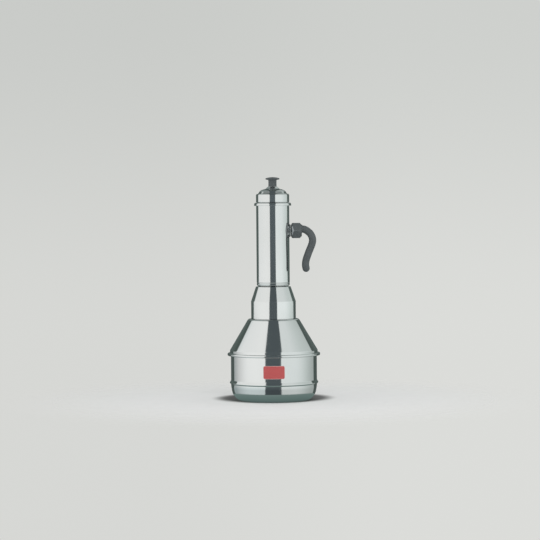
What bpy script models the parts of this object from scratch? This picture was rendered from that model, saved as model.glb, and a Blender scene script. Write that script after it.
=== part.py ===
"""Aluminium puttu steamer, as a set of separate pieces.

A water pot is closed by a conical shoulder that is lock-seamed to its rim. A steamer tube, clinched to a
tapered collar, drops over the shoulder's neck. The tube holds a loose perforated disc and takes a stepped
lid with a knob, and a hooked handle is screwed to a riveted bracket on its side.

Metres, +Z up. The origin is the centre of the pot's flat base. Every turned piece shares the Z axis, the
handle points along +X and the label faces -Y.
"""

import math

import bmesh
import bpy
from mathutils import Matrix, Vector
from mathutils.geometry import interpolate_bezier

# General
GAP = 0.0003  # between two pieces that touch on the real object
TURN_STEPS = 32  # facets round a large turned piece
SMALL_STEPS = 20  # facets round a knob, screw, washer or insert
PIN_STEPS = 12  # facets round a rivet or its hole
LARGE_FILLET = 0.0045  # fillets above this radius get the finer arc
FINE_ARC = math.radians(20)
COARSE_ARC = math.radians(50)
SMOOTH_ANGLE = math.radians(35)
LEAST_TURN = math.radians(1)  # a flatter corner gets no fillet
FILLET_SHARE = 0.96  # how much of a run the fillets at its two ends may take up
WELD = 0.000001  # points closer than this are one point

# Water pot
POT_RADIUS = 0.0817
POT_SHEET = 0.0016
POT_WALL_HEIGHT = 0.0870  # base to the underside of the rim flange
BASE_REACH = 0.0140  # from the wall in to the corner of the flat base
BASE_CORNER = 0.0120
KNEE_REACH = 0.0029  # the same for the knee above that corner
KNEE_HEIGHT = 0.0122
KNEE_BEND = 0.0200
BASE_RISE = 0.0275  # where the wall starts to draw in
BASE_BEND = 0.0300
BEAD_HEIGHT = 0.0348
BEAD_WIDTH = 0.0056
BEAD_DEPTH = 0.0024
FLANGE_BEND = 0.0010

# Lock seam between the pot and its shoulder
SEAM_REACH = 0.0063  # beyond the pot's wall
SEAM_BEND = 0.0017

# Conical shoulder with its neck
SHOULDER_SHEET = 0.0014
FOOT_REACH = 0.0017  # beyond the pot's wall
FOOT_HEIGHT = 0.0052
CONE_HEIGHT = 0.0596
LEDGE_WIDTH = 0.0055  # beyond the collar that stands on it
LEDGE_BEND = 0.0060
NECK_CLEARANCE = 0.0004
NECK_STOP = 0.0060  # how far the neck ends below the collar's taper
NECK_LIP = 0.0035
NECK_BEND = 0.0016

# Tapered collar under the tube
COLLAR_RADIUS = 0.0424
COLLAR_SHEET = 0.0010
COLLAR_STRAIGHT = 0.0330
COLLAR_TAPER = 0.0277
COLLAR_OVERHANG = 0.0016  # beyond the tube's wall, at the top
COLLAR_BEND = 0.0026
CLINCH_WIDTH = 0.0060  # from the tube's bore in to the folded throat
CLINCH_FOLD = 0.0018

# Steamer tube
TUBE_RADIUS = 0.0314
TUBE_SHEET = 0.0012
TUBE_LENGTH = 0.1589
TUBE_CORNER = 0.0060
RIM_REACH = 0.0038  # beyond the tube's wall
RIM_HEIGHT = 0.0059
RIM_TUCK = 0.0029
RIM_BEND = 0.0036
RIM_MOUTH_BEND = 0.0006
RIM_FOOT_BEND = 0.0005

# Perforated disc
DISC_CLEARANCE = 0.0008
DISC_SHEET = 0.0012
HOLE_RADIUS = 0.0015
HOLE_PITCH = 0.0078
HOLE_RINGS = 3
HOLES_IN_FIRST_RING = 6
HOLE_STEPS = 8

# Lid
LID_SHEET = 0.0010
LID_OVERHANG = 0.0001  # beyond the tube's wall
LID_EDGE_BEND = 0.0012
LID_SKIRT = 0.0166
LID_SHOULDER_BEND = 0.0034
SPIGOT_DEPTH = 0.0130
SPIGOT_CLEARANCE = 0.0004
DOME_INSET = 0.0038  # from the skirt in to the dome
DOME_WALL = 0.0065  # from the skirt's top to the dome's corner
DOME_LEAN = 0.0046  # how far the dome draws in on the way to its corner
DOME_BEND = 0.0095
DOME_CROWN = 0.0029  # from the dome's corner to the foot of the boss
BOSS_FOOT = 0.0052  # from the knob's stem out to the foot of the boss
BOSS_EDGE = 0.0012  # from the knob's stem out to the edge of the boss
BOSS_BEND = 0.0030
BOSS_RISE = 0.0039
VENT_RADIUS = 0.0013
VENT_CIRCLE = 0.0175
VENT_COUNT = 5

# Lid knob with its screw
KNOB_RADIUS = 0.0132
KNOB_FLARE = 0.0009
KNOB_EDGE = 0.0024
KNOB_CROWN = 0.0020
KNOB_CROWN_STEPS = 4
STEM_RADIUS = 0.0079
STEM_WAIST = 0.0002  # how far the stem draws in half way up
STEM_HEIGHT = 0.0125
KNOB_INSERT_RADIUS = 0.0034
KNOB_INSERT_LENGTH = 0.0100
KNOB_SCREW_RADIUS = 0.0018
KNOB_SCREW_GRIP = 0.0090  # how far it reaches into the insert
KNOB_SCREW_HEAD = 0.0038
KNOB_SCREW_HEAD_HEIGHT = 0.0024
KNOB_SCREW_CROWN = 0.0012
KNOB_WASHER_RADIUS = 0.0052
KNOB_WASHER_SHEET = 0.0008

# Handle bracket, riveted to the tube
HANDLE_RISE = 0.1056  # from the tube's underside to the handle's axis
BRACKET_SHEET = 0.0008
BRACKET_HEIGHT = 0.0240
BRACKET_WIDTH = 0.0372  # straight across, from ear to ear
BRACKET_CORNER = 0.0060
CUP_RADIUS = 0.0113
CUP_EDGE = 0.0007
RIVET_RADIUS = 0.0015
RIVET_HEAD = 0.0028
RIVET_HEAD_HEIGHT = 0.0014
RIVET_CROWN = 0.0010
RIVET_SPREAD = 0.0125  # between the two rivets of one ear

# Handle with its stud
HANDLE_WASHER_RADIUS = 0.0106
HANDLE_WASHER_SHEET = 0.0005
STUD_RADIUS = 0.0029
STUD_HEAD = 0.0065
STUD_HEAD_HEIGHT = 0.0010
STUD_CROWN = 0.0003
STUD_GRIP = 0.0120  # how far it reaches into the insert
HANDLE_INSERT_RADIUS = 0.0048
HANDLE_INSERT_LENGTH = 0.0130
HANDLE_BOSS_FLATS = 0.0288
HANDLE_BOSS_LENGTH = 0.0201
HANDLE_BOSS_STEPS = 24
NEAR_CHAMFER = 0.0022
FAR_CHAMFER = 0.0038
ARM_WIDTH = 0.0136  # in the plane of the hook
ARM_DEPTH = 0.0150  # across that plane
ARM_STEPS = 12
ARM_STEPS_PER_SPAN = 3
ARM_TIP_TURNS = [math.radians(35), math.radians(65), math.radians(85)]
# Centreline of the hook, (out, up) from the middle of the boss's far face
ARM_ROUTE = [
    (-0.0080, 0.0022),
    (0.0036, 0.0024),
    (0.0114, -0.0018),
    (0.0169, -0.0074),
    (0.0202, -0.0162),
    (0.0191, -0.0257),
    (0.0128, -0.0415),
    (0.0079, -0.0555),
    (0.0066, -0.0650),
    (0.0076, -0.0722),
]

# Label on the front of the pot
LABEL_WIDTH = 0.0404
LABEL_HEIGHT = 0.0246
LABEL_CORNER = 0.0030
LABEL_SHEET = 0.0004
LABEL_DROP = 0.0034  # below half way between the bead and the seam

# Radii worked out from the sizes above
seam_radius = POT_RADIUS + SEAM_REACH
foot_radius = POT_RADIUS + FOOT_REACH
neck_radius = COLLAR_RADIUS - COLLAR_SHEET - NECK_CLEARANCE
bore_radius = TUBE_RADIUS - TUBE_SHEET
clinch_radius = bore_radius - CLINCH_WIDTH
disc_radius = bore_radius - DISC_CLEARANCE
spigot_radius = bore_radius - SPIGOT_CLEARANCE
lid_radius = TUBE_RADIUS + LID_OVERHANG

# Heights worked out from the sizes above
seam_top = POT_WALL_HEIGHT + POT_SHEET + GAP + SHOULDER_SHEET
seam_bottom = POT_WALL_HEIGHT - GAP - SHOULDER_SHEET
ledge_height = seam_top + FOOT_HEIGHT + CONE_HEIGHT
collar_base = ledge_height + GAP
collar_height = COLLAR_STRAIGHT + COLLAR_TAPER
neck_height = COLLAR_STRAIGHT - NECK_STOP
tube_base = collar_base + collar_height + GAP
lid_seat = TUBE_LENGTH + GAP  # above the tube's underside, like the two heights below
clinch_top = TUBE_SHEET + GAP + COLLAR_SHEET
inner_corner = TUBE_CORNER - TUBE_SHEET
corner_seat = TUBE_CORNER - math.sqrt(max(inner_corner**2 - (inner_corner - DISC_CLEARANCE) ** 2, 0))
disc_seat = max(corner_seat, clinch_top) + GAP
boss_top = LID_SKIRT + DOME_WALL + DOME_CROWN + BOSS_RISE  # above the lid's seat

# Distances of the handle's pieces from the tube's axis
stud_seat = TUBE_RADIUS + GAP + STUD_HEAD_HEIGHT
cup_face = stud_seat + GAP + BRACKET_SHEET
handle_face = cup_face + GAP + HANDLE_WASHER_SHEET + GAP
bracket_radius = TUBE_RADIUS + GAP + BRACKET_SHEET
cup_angle = math.asin(CUP_RADIUS / bracket_radius)
ear_angle = math.asin(BRACKET_WIDTH / 2 / bracket_radius)
rivet_angle = (cup_angle + ear_angle) / 2


def clear_scene():
    """Removes whatever the file opened with."""
    for old in list(bpy.data.objects):
        bpy.data.objects.remove(old)


def make_material(name, colour, roughness, metallic):
    """A Principled material with one colour."""
    material = bpy.data.materials.new(name)
    material.use_nodes = True
    shader = material.node_tree.nodes["Principled BSDF"]
    shader.inputs["Base Color"].default_value = (*colour, 1.0)
    shader.inputs["Roughness"].default_value = roughness
    shader.inputs["Metallic"].default_value = metallic
    return material


def link(obj, parent, location):
    """Puts an object in the scene, under its frame."""
    bpy.context.scene.collection.objects.link(obj)
    obj.parent = parent
    obj.location = location
    return obj


def add_frame(name, height, parent=None):
    """An empty on the common axis that carries the pieces of one moving group."""
    return link(bpy.data.objects.new(name, None), parent, (0, 0, height))


def add_piece(name, shape, material, parent, location=(0, 0, 0)):
    """A named object made from a bmesh, shaded smooth with its hard edges kept."""
    bmesh.ops.recalc_face_normals(shape, faces=shape.faces)
    mesh = bpy.data.meshes.new(name)
    shape.to_mesh(mesh)
    shape.free()
    mesh.shade_smooth()
    mesh.set_sharp_from_angle(angle=SMOOTH_ANGLE)
    if material:
        mesh.materials.append(material)
    return link(bpy.data.objects.new(name, mesh), parent, location)


def add_cutter(name, shape, parent, location=(0, 0, 0)):
    """A helper that a Boolean reads, left out of the model itself."""
    cutter = add_piece(name, shape, None, parent, location)
    cutter.hide_render = True
    cutter.display_type = "WIRE"
    return cutter


def combine(piece, operation, other):
    """Adds a Boolean modifier to a piece."""
    modifier = piece.modifiers.new(f"{operation} {other.name}", "BOOLEAN")
    modifier.operation = operation
    modifier.object = other


def arc_points(centre, start, turn, radius):
    """Points round a centre, from start through the angle turn."""
    arc_step = FINE_ARC if radius > LARGE_FILLET else COARSE_ARC
    steps = max(1, math.ceil(abs(turn) / arc_step))
    arm = start - centre
    return [centre + Matrix.Rotation(turn * k / steps, 2) @ arm for k in range(steps + 1)]


def fillet_reach(before, point, after, fillet):
    """How far a corner's fillet takes up the runs beside it."""
    turn = math.pi - (before - point).angle(after - point)
    return fillet * math.tan(turn / 2) if turn > LEAST_TURN else 0.0


def rounded(corners):
    """The line through (r, z, fillet) corners, with an arc at each corner that has a fillet."""
    points = [Vector(corner[:2]) for corner in corners]
    inner = zip(points, points[1:], points[2:], corners[1:])
    reaches = [0.0, *(fillet_reach(*three, corner[2]) for *three, corner in inner), 0.0]
    line = [points[0]]
    for i in range(1, len(points) - 1):
        if reaches[i] <= 0:
            line.append(points[i])
            continue
        back = points[i - 1] - points[i]
        on = points[i + 1] - points[i]
        room = min(back.length / (reaches[i - 1] + reaches[i]), on.length / (reaches[i] + reaches[i + 1]))
        reach = reaches[i] * min(1, FILLET_SHARE * room)
        start = points[i] + back.normalized() * reach
        turn = math.pi - back.angle(on)
        radius = reach / math.tan(turn / 2)
        middle = (back.normalized() + on.normalized()).normalized()
        side = 1 if on.cross(back) > 0 else -1
        line += arc_points(points[i] + middle * radius / math.cos(turn / 2), start, side * turn, radius)
    return line + [points[-1]]


def beside(corners, distance):
    """The same run of corners moved sideways, to its left where distance is positive."""
    points = [Vector(corner[:2]) for corner in corners]
    ways = [(b - a).normalized() for a, b in zip(points, points[1:])]
    moved = []
    for i, point in enumerate(points):
        before = ways[max(i - 1, 0)]
        after = ways[min(i, len(ways) - 1)]
        left = Vector((-after.y, after.x))
        mitre = (Vector((-before.y, before.x)) + left).normalized()
        shifted = point + mitre * distance / mitre.dot(left)
        bend = distance if before.cross(after) > 0 else -distance
        moved.append((shifted.x, shifted.y, max(corners[i][2] - bend, 0)))
    return moved


def sheet_outline(corners, sheet):
    """Section of a bent sheet: the run of corners, and the same run on the sheet's other side."""
    return rounded(corners) + rounded(beside(corners, sheet))[::-1]


def turned(outline, steps=TURN_STEPS):
    """A solid of revolution about Z from a closed outline of (r, z) points."""
    shape = bmesh.new()
    points = [shape.verts.new((point[0], 0, point[1])) for point in outline]
    for a, b in zip(points, points[1:] + points[:1]):
        if max(a.co.x, b.co.x) > WELD:
            shape.edges.new((a, b))
    bmesh.ops.spin(
        shape,
        geom=shape.verts[:] + shape.edges[:],
        cent=(0, 0, 0),
        axis=(0, 0, 1),
        angle=math.tau,
        steps=steps,
        use_merge=True,
    )
    bmesh.ops.remove_doubles(shape, verts=shape.verts, dist=WELD)
    return shape


def cylinder(radius, low, high, steps):
    """A plain cylinder about Z."""
    return turned([(0, low), (radius, low), (radius, high), (0, high)], steps)


def tube_ring(inner, outer, low, high, steps):
    """A plain ring about Z, such as a washer or a threaded insert."""
    return turned([(inner, low), (outer, low), (outer, high), (inner, high)], steps)


def lofted(rings):
    """A closed solid through a run of rings that have the same number of points."""
    shape = bmesh.new()
    loops = [[shape.verts.new(point) for point in ring] for ring in rings]
    for a, b in zip(loops, loops[1:]):
        for i in range(len(a)):
            j = (i + 1) % len(a)
            shape.faces.new((a[i], a[j], b[j], b[i]))
    shape.faces.new(loops[0])
    shape.faces.new(loops[-1])
    return shape


def rounded_block(width, height, corner, near, far):
    """A block with a rounded rectangular face across X and Y, running along Z from near to far."""
    outline = []
    for quarter in range(4):
        across = (width / 2 - corner) * (1 if quarter in (0, 3) else -1)
        up = (height / 2 - corner) * (1 if quarter in (0, 1) else -1)
        start = Matrix.Rotation(quarter * math.pi / 2, 2) @ Vector((corner, 0))
        middle = Vector((across, up))
        outline += arc_points(middle, middle + start, math.pi / 2, LARGE_FILLET * 2)
    return lofted([[(p.x, p.y, z) for p in outline] for z in (near, far)])


def merged(shapes):
    """Several bmeshes as one, still separate bodies."""
    whole = bmesh.new()
    for shape in shapes:
        part = bpy.data.meshes.new("part")
        shape.to_mesh(part)
        shape.free()
        whole.from_mesh(part)
        bpy.data.meshes.remove(part)
    return whole


def placed(shape, matrix):
    """The bmesh moved by a matrix."""
    bmesh.ops.transform(shape, matrix=matrix, verts=shape.verts)
    return shape


def out_along_x(distance, height, angle=0.0):
    """Turns a shape made about Z to point outwards from the axis, at an angle round it."""
    outwards = Matrix.Rotation(angle, 4, "Z") @ Matrix.Translation((distance, 0, 0))
    return Matrix.Translation((0, 0, height)) @ outwards @ Matrix.Rotation(math.pi / 2, 4, "Y")


def pot_body():
    """Spun pot: flat base, drawn-in foot, stiffening bead and the flange that the seam folds round."""
    bead_low = BEAD_HEIGHT - BEAD_WIDTH / 2
    bead_high = BEAD_HEIGHT + BEAD_WIDTH / 2
    corners = [
        (0, 0, 0),
        (POT_RADIUS - BASE_REACH, 0, BASE_CORNER),
        (POT_RADIUS - KNEE_REACH, KNEE_HEIGHT, KNEE_BEND),
        (POT_RADIUS, BASE_RISE, BASE_BEND),
        (POT_RADIUS, bead_low, 0),
        (POT_RADIUS + BEAD_DEPTH, bead_low + BEAD_WIDTH / 3, 0),
        (POT_RADIUS + BEAD_DEPTH, bead_high - BEAD_WIDTH / 3, 0),
        (POT_RADIUS, bead_high, 0),
        (POT_RADIUS, POT_WALL_HEIGHT, FLANGE_BEND),
        (seam_radius - SHOULDER_SHEET - 2 * GAP, POT_WALL_HEIGHT, 0),
    ]
    return turned(sheet_outline(corners, POT_SHEET))


def pot_shoulder():
    """Neck, ledge, cone and foot, with the outer half of the lock seam folded under the pot's flange."""
    corners = [
        (neck_radius - NECK_LIP, ledge_height + neck_height, 0),
        (neck_radius, ledge_height + neck_height, NECK_BEND),
        (neck_radius, ledge_height, 0),
        (COLLAR_RADIUS + LEDGE_WIDTH, ledge_height, LEDGE_BEND),
        (foot_radius, seam_top + FOOT_HEIGHT, SEAM_BEND),
        (foot_radius, seam_top, 0),
        (seam_radius, seam_top, SEAM_BEND),
        (seam_radius, seam_bottom, SEAM_BEND),
        (POT_RADIUS + 2 * GAP, seam_bottom, 0),
    ]
    return turned(sheet_outline(corners, -SHOULDER_SHEET))


def tube_collar():
    """Straight skirt over the neck, taper, and the throat folded over the tube's lip. Z 0 is its foot."""
    fold_height = collar_height + GAP + TUBE_SHEET + GAP
    corners = [
        (COLLAR_RADIUS, 0, 0),
        (COLLAR_RADIUS, COLLAR_STRAIGHT, COLLAR_BEND),
        (TUBE_RADIUS + COLLAR_OVERHANG, collar_height, COLLAR_BEND),
        (clinch_radius, collar_height, 0),
        (clinch_radius, fold_height, 0),
        (clinch_radius + CLINCH_FOLD, fold_height, 0),
    ]
    return turned(sheet_outline(corners, COLLAR_SHEET))


def steamer_tube():
    """Drawn tube with a turned-in bottom lip and a rolled rim. Z 0 is its underside."""
    corners = [
        (clinch_radius + GAP, TUBE_SHEET, 0),
        (bore_radius, TUBE_SHEET, inner_corner),
        (bore_radius, TUBE_LENGTH, RIM_MOUTH_BEND),
        (TUBE_RADIUS + RIM_REACH, TUBE_LENGTH, RIM_BEND),
        (TUBE_RADIUS + RIM_REACH, TUBE_LENGTH - RIM_HEIGHT, RIM_FOOT_BEND),
        (TUBE_RADIUS + RIM_REACH - RIM_TUCK, TUBE_LENGTH - RIM_HEIGHT, 0),
    ]
    return turned(sheet_outline(corners, -TUBE_SHEET))


def circle(shape, centre, radius, steps):
    """Adds a flat ring of edges to a bmesh."""
    points = []
    for k in range(steps):
        spot = Vector(centre) + Matrix.Rotation(math.tau * k / steps, 2) @ Vector((radius, 0))
        points.append(shape.verts.new((spot.x, spot.y, 0)))
    return [shape.edges.new(pair) for pair in zip(points, points[1:] + points[:1])]


def perforated_disc():
    """Flat disc with rings of steam holes. Z 0 is its underside."""
    shape = bmesh.new()
    edges = circle(shape, (0, 0), disc_radius, TURN_STEPS)
    edges += circle(shape, (0, 0), HOLE_RADIUS, HOLE_STEPS)
    for ring in range(1, HOLE_RINGS + 1):
        count = HOLES_IN_FIRST_RING * ring
        for k in range(count):
            spot = Matrix.Rotation(math.tau * k / count, 2) @ Vector((HOLE_PITCH * ring, 0))
            edges += circle(shape, spot, HOLE_RADIUS, HOLE_STEPS)
    bmesh.ops.triangle_fill(shape, edges=edges, use_beauty=True)
    raised = bmesh.ops.extrude_face_region(shape, geom=shape.faces[:])["geom"]
    upper = [item for item in raised if isinstance(item, bmesh.types.BMVert)]
    bmesh.ops.translate(shape, verts=upper, vec=(0, 0, DISC_SHEET))
    return shape


def lid_cap():
    """Pressed lid: spigot, ledge, skirt, dome and the boss that the knob stands on. Z 0 is its ledge."""
    dome_radius = lid_radius - DOME_INSET
    corners = [
        (KNOB_SCREW_RADIUS + GAP, boss_top, 0),
        (STEM_RADIUS + BOSS_EDGE, boss_top, BOSS_EDGE),
        (STEM_RADIUS + BOSS_FOOT, boss_top - BOSS_RISE, BOSS_BEND),
        (dome_radius - DOME_LEAN, LID_SKIRT + DOME_WALL, DOME_BEND),
        (dome_radius, LID_SKIRT, 0),
        (lid_radius, LID_SKIRT, LID_SHOULDER_BEND),
        (lid_radius, 0, LID_EDGE_BEND),
        (spigot_radius, 0, 0),
        (spigot_radius, -SPIGOT_DEPTH, 0),
    ]
    return turned(sheet_outline(corners, -LID_SHEET))


def vent_drills():
    """The holes that let the steam out of the lid, as cutters."""
    drills = []
    for k in range(VENT_COUNT):
        turn = Matrix.Rotation(math.tau * (k + 0.5) / VENT_COUNT, 4, "Z")
        drill = cylinder(VENT_RADIUS, LID_SKIRT, boss_top + LID_SKIRT, PIN_STEPS)
        drills.append(placed(drill, turn @ Matrix.Translation((VENT_CIRCLE, 0, 0))))
    return merged(drills)


def lid_knob():
    """Moulded knob: waisted stem, lens-shaped cap, and a pocket for its insert. Z 0 is its foot."""
    pocket = KNOB_INSERT_RADIUS + GAP
    pocket_top = KNOB_INSERT_LENGTH + GAP
    waist_radius = STEM_RADIUS - STEM_WAIST
    edge_low = STEM_HEIGHT + KNOB_FLARE
    edge_high = edge_low + KNOB_EDGE
    outline = [
        (0, pocket_top),
        (pocket, pocket_top),
        (pocket, 0),
        (STEM_RADIUS, 0),
        (waist_radius, STEM_HEIGHT / 3),
        (waist_radius, STEM_HEIGHT * 2 / 3),
        (STEM_RADIUS, STEM_HEIGHT),
        (KNOB_RADIUS, edge_low),
    ]
    for k in range(KNOB_CROWN_STEPS + 1):
        share = 1 - k / KNOB_CROWN_STEPS
        outline.append((KNOB_RADIUS * share, edge_high + KNOB_CROWN * (1 - share**2)))
    return turned(outline, SMALL_STEPS)


def headed_pin(radius, head_radius, head_height, crown, length, steps):
    """A screw, stud or rivet about Z: its head ends at Z 0 and its shank runs down to -length."""
    outline = [
        (0, -length),
        (radius, -length),
        (radius, 0),
        (head_radius, 0),
        (head_radius, head_height - crown),
        (head_radius * 0.6, head_height - crown * 0.3),
        (0, head_height),
    ]
    return turned(outline, steps)


def handle_bracket(parent, material):
    """Saddle on the tube's wall with a round raised cup for the stud's head and two ears for rivets."""
    behind = TUBE_RADIUS / 2
    beyond = cup_face + BRACKET_SHEET
    outwards = out_along_x(0, 0)
    block = rounded_block(BRACKET_HEIGHT, BRACKET_WIDTH, BRACKET_CORNER, behind, beyond)
    bracket = add_piece("handle_bracket", placed(block, outwards), material, parent)
    outside = cylinder(bracket_radius, -BRACKET_HEIGHT, BRACKET_HEIGHT, TURN_STEPS)
    cup_corners = [
        (0, behind, 0),
        (CUP_RADIUS, behind, 0),
        (CUP_RADIUS, cup_face, CUP_EDGE),
        (0, cup_face, 0),
    ]
    cup = turned(rounded(cup_corners), SMALL_STEPS)
    hollow = cylinder(CUP_RADIUS - BRACKET_SHEET, 0, cup_face - BRACKET_SHEET, SMALL_STEPS)
    stud_way = cylinder(STUD_RADIUS + GAP, behind, beyond, SMALL_STEPS)
    inside = cylinder(TUBE_RADIUS + GAP, -2 * BRACKET_HEIGHT, 2 * BRACKET_HEIGHT, TURN_STEPS)
    rivet_ways = add_cutter("rivet_ways", rivet_drills(), parent)
    combine(bracket, "INTERSECT", add_cutter("bracket_outside", outside, parent))
    combine(bracket, "UNION", add_cutter("bracket_cup", placed(cup, outwards), parent))
    combine(bracket, "DIFFERENCE", add_cutter("bracket_hollow", placed(hollow, outwards), parent))
    combine(bracket, "DIFFERENCE", add_cutter("stud_way", placed(stud_way, outwards), parent))
    combine(bracket, "DIFFERENCE", add_cutter("bracket_inside", inside, parent))
    combine(bracket, "DIFFERENCE", rivet_ways)
    return rivet_ways


def rivet_places(distance):
    """Where the four rivets are, two to an ear, as matrices that point outwards at a distance."""
    spots = [(side, level) for side in (-1, 1) for level in (-1, 1)]
    return [out_along_x(distance, level * RIVET_SPREAD / 2, side * rivet_angle) for side, level in spots]


def rivet_drills():
    """The rivet holes, through the bracket's ears and the tube's wall, as cutters."""
    reach = 2 * (bracket_radius - bore_radius)
    ways = rivet_places(bracket_radius)
    return merged([placed(cylinder(RIVET_RADIUS + GAP, -reach, reach, PIN_STEPS), way) for way in ways])


def bracket_rivets(parent, material):
    """Domed rivets whose shanks end flush with the tube's bore."""
    seat = bracket_radius + GAP
    length = seat - bore_radius
    for number, place in enumerate(rivet_places(seat), start=1):
        rivet = headed_pin(RIVET_RADIUS, RIVET_HEAD, RIVET_HEAD_HEIGHT, RIVET_CROWN, length, PIN_STEPS)
        add_piece(f"bracket_rivet_{number}", placed(rivet, place), material, parent)


def handle_boss():
    """Hexagonal boss with flats above and below and turned chamfers. Z 0 is the end nearer the tube."""
    apothem = HANDLE_BOSS_FLATS / 2
    corner_rise = apothem / math.cos(math.pi / 6) - apothem
    inner_ends = [0, NEAR_CHAMFER, NEAR_CHAMFER + corner_rise / 2, NEAR_CHAMFER + corner_rise]
    outer_ends = [FAR_CHAMFER + corner_rise, FAR_CHAMFER + corner_rise / 2, FAR_CHAMFER, 0]
    stations = [(depth, apothem - NEAR_CHAMFER + depth) for depth in inner_ends]
    stations += [(HANDLE_BOSS_LENGTH - depth, apothem - FAR_CHAMFER + depth) for depth in outer_ends]
    rings = []
    for along, cone in stations:
        ring = []
        for k in range(HANDLE_BOSS_STEPS):
            turn = math.tau * k / HANDLE_BOSS_STEPS
            from_flat = (turn + math.pi / 6) % (math.pi / 3) - math.pi / 6
            radius = min(cone, apothem / math.cos(from_flat))
            ring.append((radius * math.cos(turn), radius * math.sin(turn), along))
        rings.append(ring)
    return lofted(rings)


def smooth_line(points, steps):
    """A smooth line through the points, as short straight pieces."""
    ends = [points[0] * 2 - points[1], *points, points[-1] * 2 - points[-2]]
    line = []
    for before, start, end, after in zip(ends, ends[1:], ends[2:], ends[3:]):
        handle_a = start + (end - before) / 6
        handle_b = end - (after - start) / 6
        line += interpolate_bezier(start, handle_a, handle_b, end, steps + 1)[:-1]
    return line + [points[-1]]


def handle_arm():
    """The hook: oval rings along its centreline and a rounded tip, in the plane of X and Z."""
    route = [Vector((out, 0, up)) for out, up in ARM_ROUTE]
    line = smooth_line(route, ARM_STEPS_PER_SPAN)
    ways = [(b - a).normalized() for a, b in zip(line, line[1:])]
    ways = [ways[0]] + [(a + b).normalized() for a, b in zip(ways, ways[1:])] + [ways[-1]]
    stations = [(point, way, 1.0) for point, way in zip(line, ways)]
    for tip_turn in ARM_TIP_TURNS:
        beyond = line[-1] + ways[-1] * math.sin(tip_turn) * ARM_WIDTH / 2
        stations.append((beyond, ways[-1], math.cos(tip_turn)))
    rings = []
    for point, way, size in stations:
        side = way.cross(Vector((0, 1, 0)))
        ring = []
        for k in range(ARM_STEPS):
            turn = math.tau * k / ARM_STEPS
            across = side * math.cos(turn) * ARM_WIDTH / 2
            ring.append(point + (across + Vector((0, math.sin(turn) * ARM_DEPTH / 2, 0))) * size)
        rings.append(ring)
    return lofted(rings)


def handle_grip(parent, material):
    """Moulded handle: boss, hook and the pocket for the threaded insert."""
    grip_shape = placed(handle_boss(), out_along_x(0, 0))
    grip = add_piece("handle_grip", grip_shape, material, parent, (handle_face, 0, 0))
    arm = add_cutter("handle_arm", handle_arm(), parent, (handle_face + HANDLE_BOSS_LENGTH, 0, 0))
    depth = HANDLE_INSERT_LENGTH + GAP
    hollow = placed(cylinder(HANDLE_INSERT_RADIUS + GAP, -depth, depth, SMALL_STEPS), out_along_x(0, 0))
    pocket = add_cutter("handle_pocket", hollow, parent, (handle_face, 0, 0))
    combine(grip, "UNION", arm)
    combine(grip, "DIFFERENCE", pocket)


def front_label(parent, material):
    """Thin printed label that follows the pot's wall."""
    bead_top = BEAD_HEIGHT + BEAD_WIDTH / 2
    height = (bead_top + seam_bottom) / 2 - LABEL_DROP
    to_front = Matrix.Translation((0, 0, height)) @ Matrix.Rotation(math.pi / 2, 4, "X")
    block = rounded_block(LABEL_WIDTH, LABEL_HEIGHT, LABEL_CORNER, POT_RADIUS / 2, 2 * POT_RADIUS)
    label = add_piece("front_label", placed(block, to_front), material, parent)
    outside = cylinder(POT_RADIUS + GAP + LABEL_SHEET, 0, POT_WALL_HEIGHT, TURN_STEPS)
    inside = cylinder(POT_RADIUS + GAP, -POT_SHEET, POT_WALL_HEIGHT + POT_SHEET, TURN_STEPS)
    combine(label, "INTERSECT", add_cutter("label_outside", outside, parent))
    combine(label, "DIFFERENCE", add_cutter("label_inside", inside, parent))


def build_pot(aluminium, red_film):
    """The standing group: pot, shoulder and label."""
    pot_frame = add_frame("pot_frame", 0)
    add_piece("pot_body", pot_body(), aluminium, pot_frame)
    add_piece("pot_shoulder", pot_shoulder(), aluminium, pot_frame)
    front_label(pot_frame, red_film)
    return pot_frame


def build_tube(pot_frame, aluminium, steel, brass, bakelite):
    """The group that lifts off the pot's neck: collar, tube, bracket and handle."""
    tube_frame = add_frame("tube_frame", tube_base, pot_frame)
    add_piece("tube_collar", tube_collar(), aluminium, tube_frame, (0, 0, collar_base - tube_base))
    tube = add_piece("steamer_tube", steamer_tube(), aluminium, tube_frame)
    handle_frame = add_frame("handle_frame", HANDLE_RISE, tube_frame)
    rivet_ways = handle_bracket(handle_frame, aluminium)
    combine(tube, "DIFFERENCE", rivet_ways)
    bracket_rivets(handle_frame, aluminium)
    outwards = out_along_x(0, 0)
    washer = tube_ring(STUD_RADIUS + GAP, HANDLE_WASHER_RADIUS, 0, HANDLE_WASHER_SHEET, SMALL_STEPS)
    add_piece("handle_washer", placed(washer, outwards), steel, handle_frame, (cup_face + GAP, 0, 0))
    stud_length = handle_face + STUD_GRIP - stud_seat
    stud = headed_pin(STUD_RADIUS, STUD_HEAD, STUD_HEAD_HEIGHT, STUD_CROWN, stud_length, SMALL_STEPS)
    inwards = Matrix.Rotation(-math.pi / 2, 4, "Y")
    add_piece("handle_stud", placed(stud, inwards), steel, handle_frame, (stud_seat, 0, 0))
    insert = tube_ring(STUD_RADIUS + GAP, HANDLE_INSERT_RADIUS, 0, HANDLE_INSERT_LENGTH, SMALL_STEPS)
    add_piece("handle_insert", placed(insert, outwards), brass, handle_frame, (handle_face, 0, 0))
    handle_grip(handle_frame, bakelite)
    return tube_frame


def build_disc(tube_frame, aluminium):
    """The loose disc in the foot of the tube."""
    disc_frame = add_frame("disc_frame", disc_seat, tube_frame)
    add_piece("perforated_disc", perforated_disc(), aluminium, disc_frame)


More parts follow.
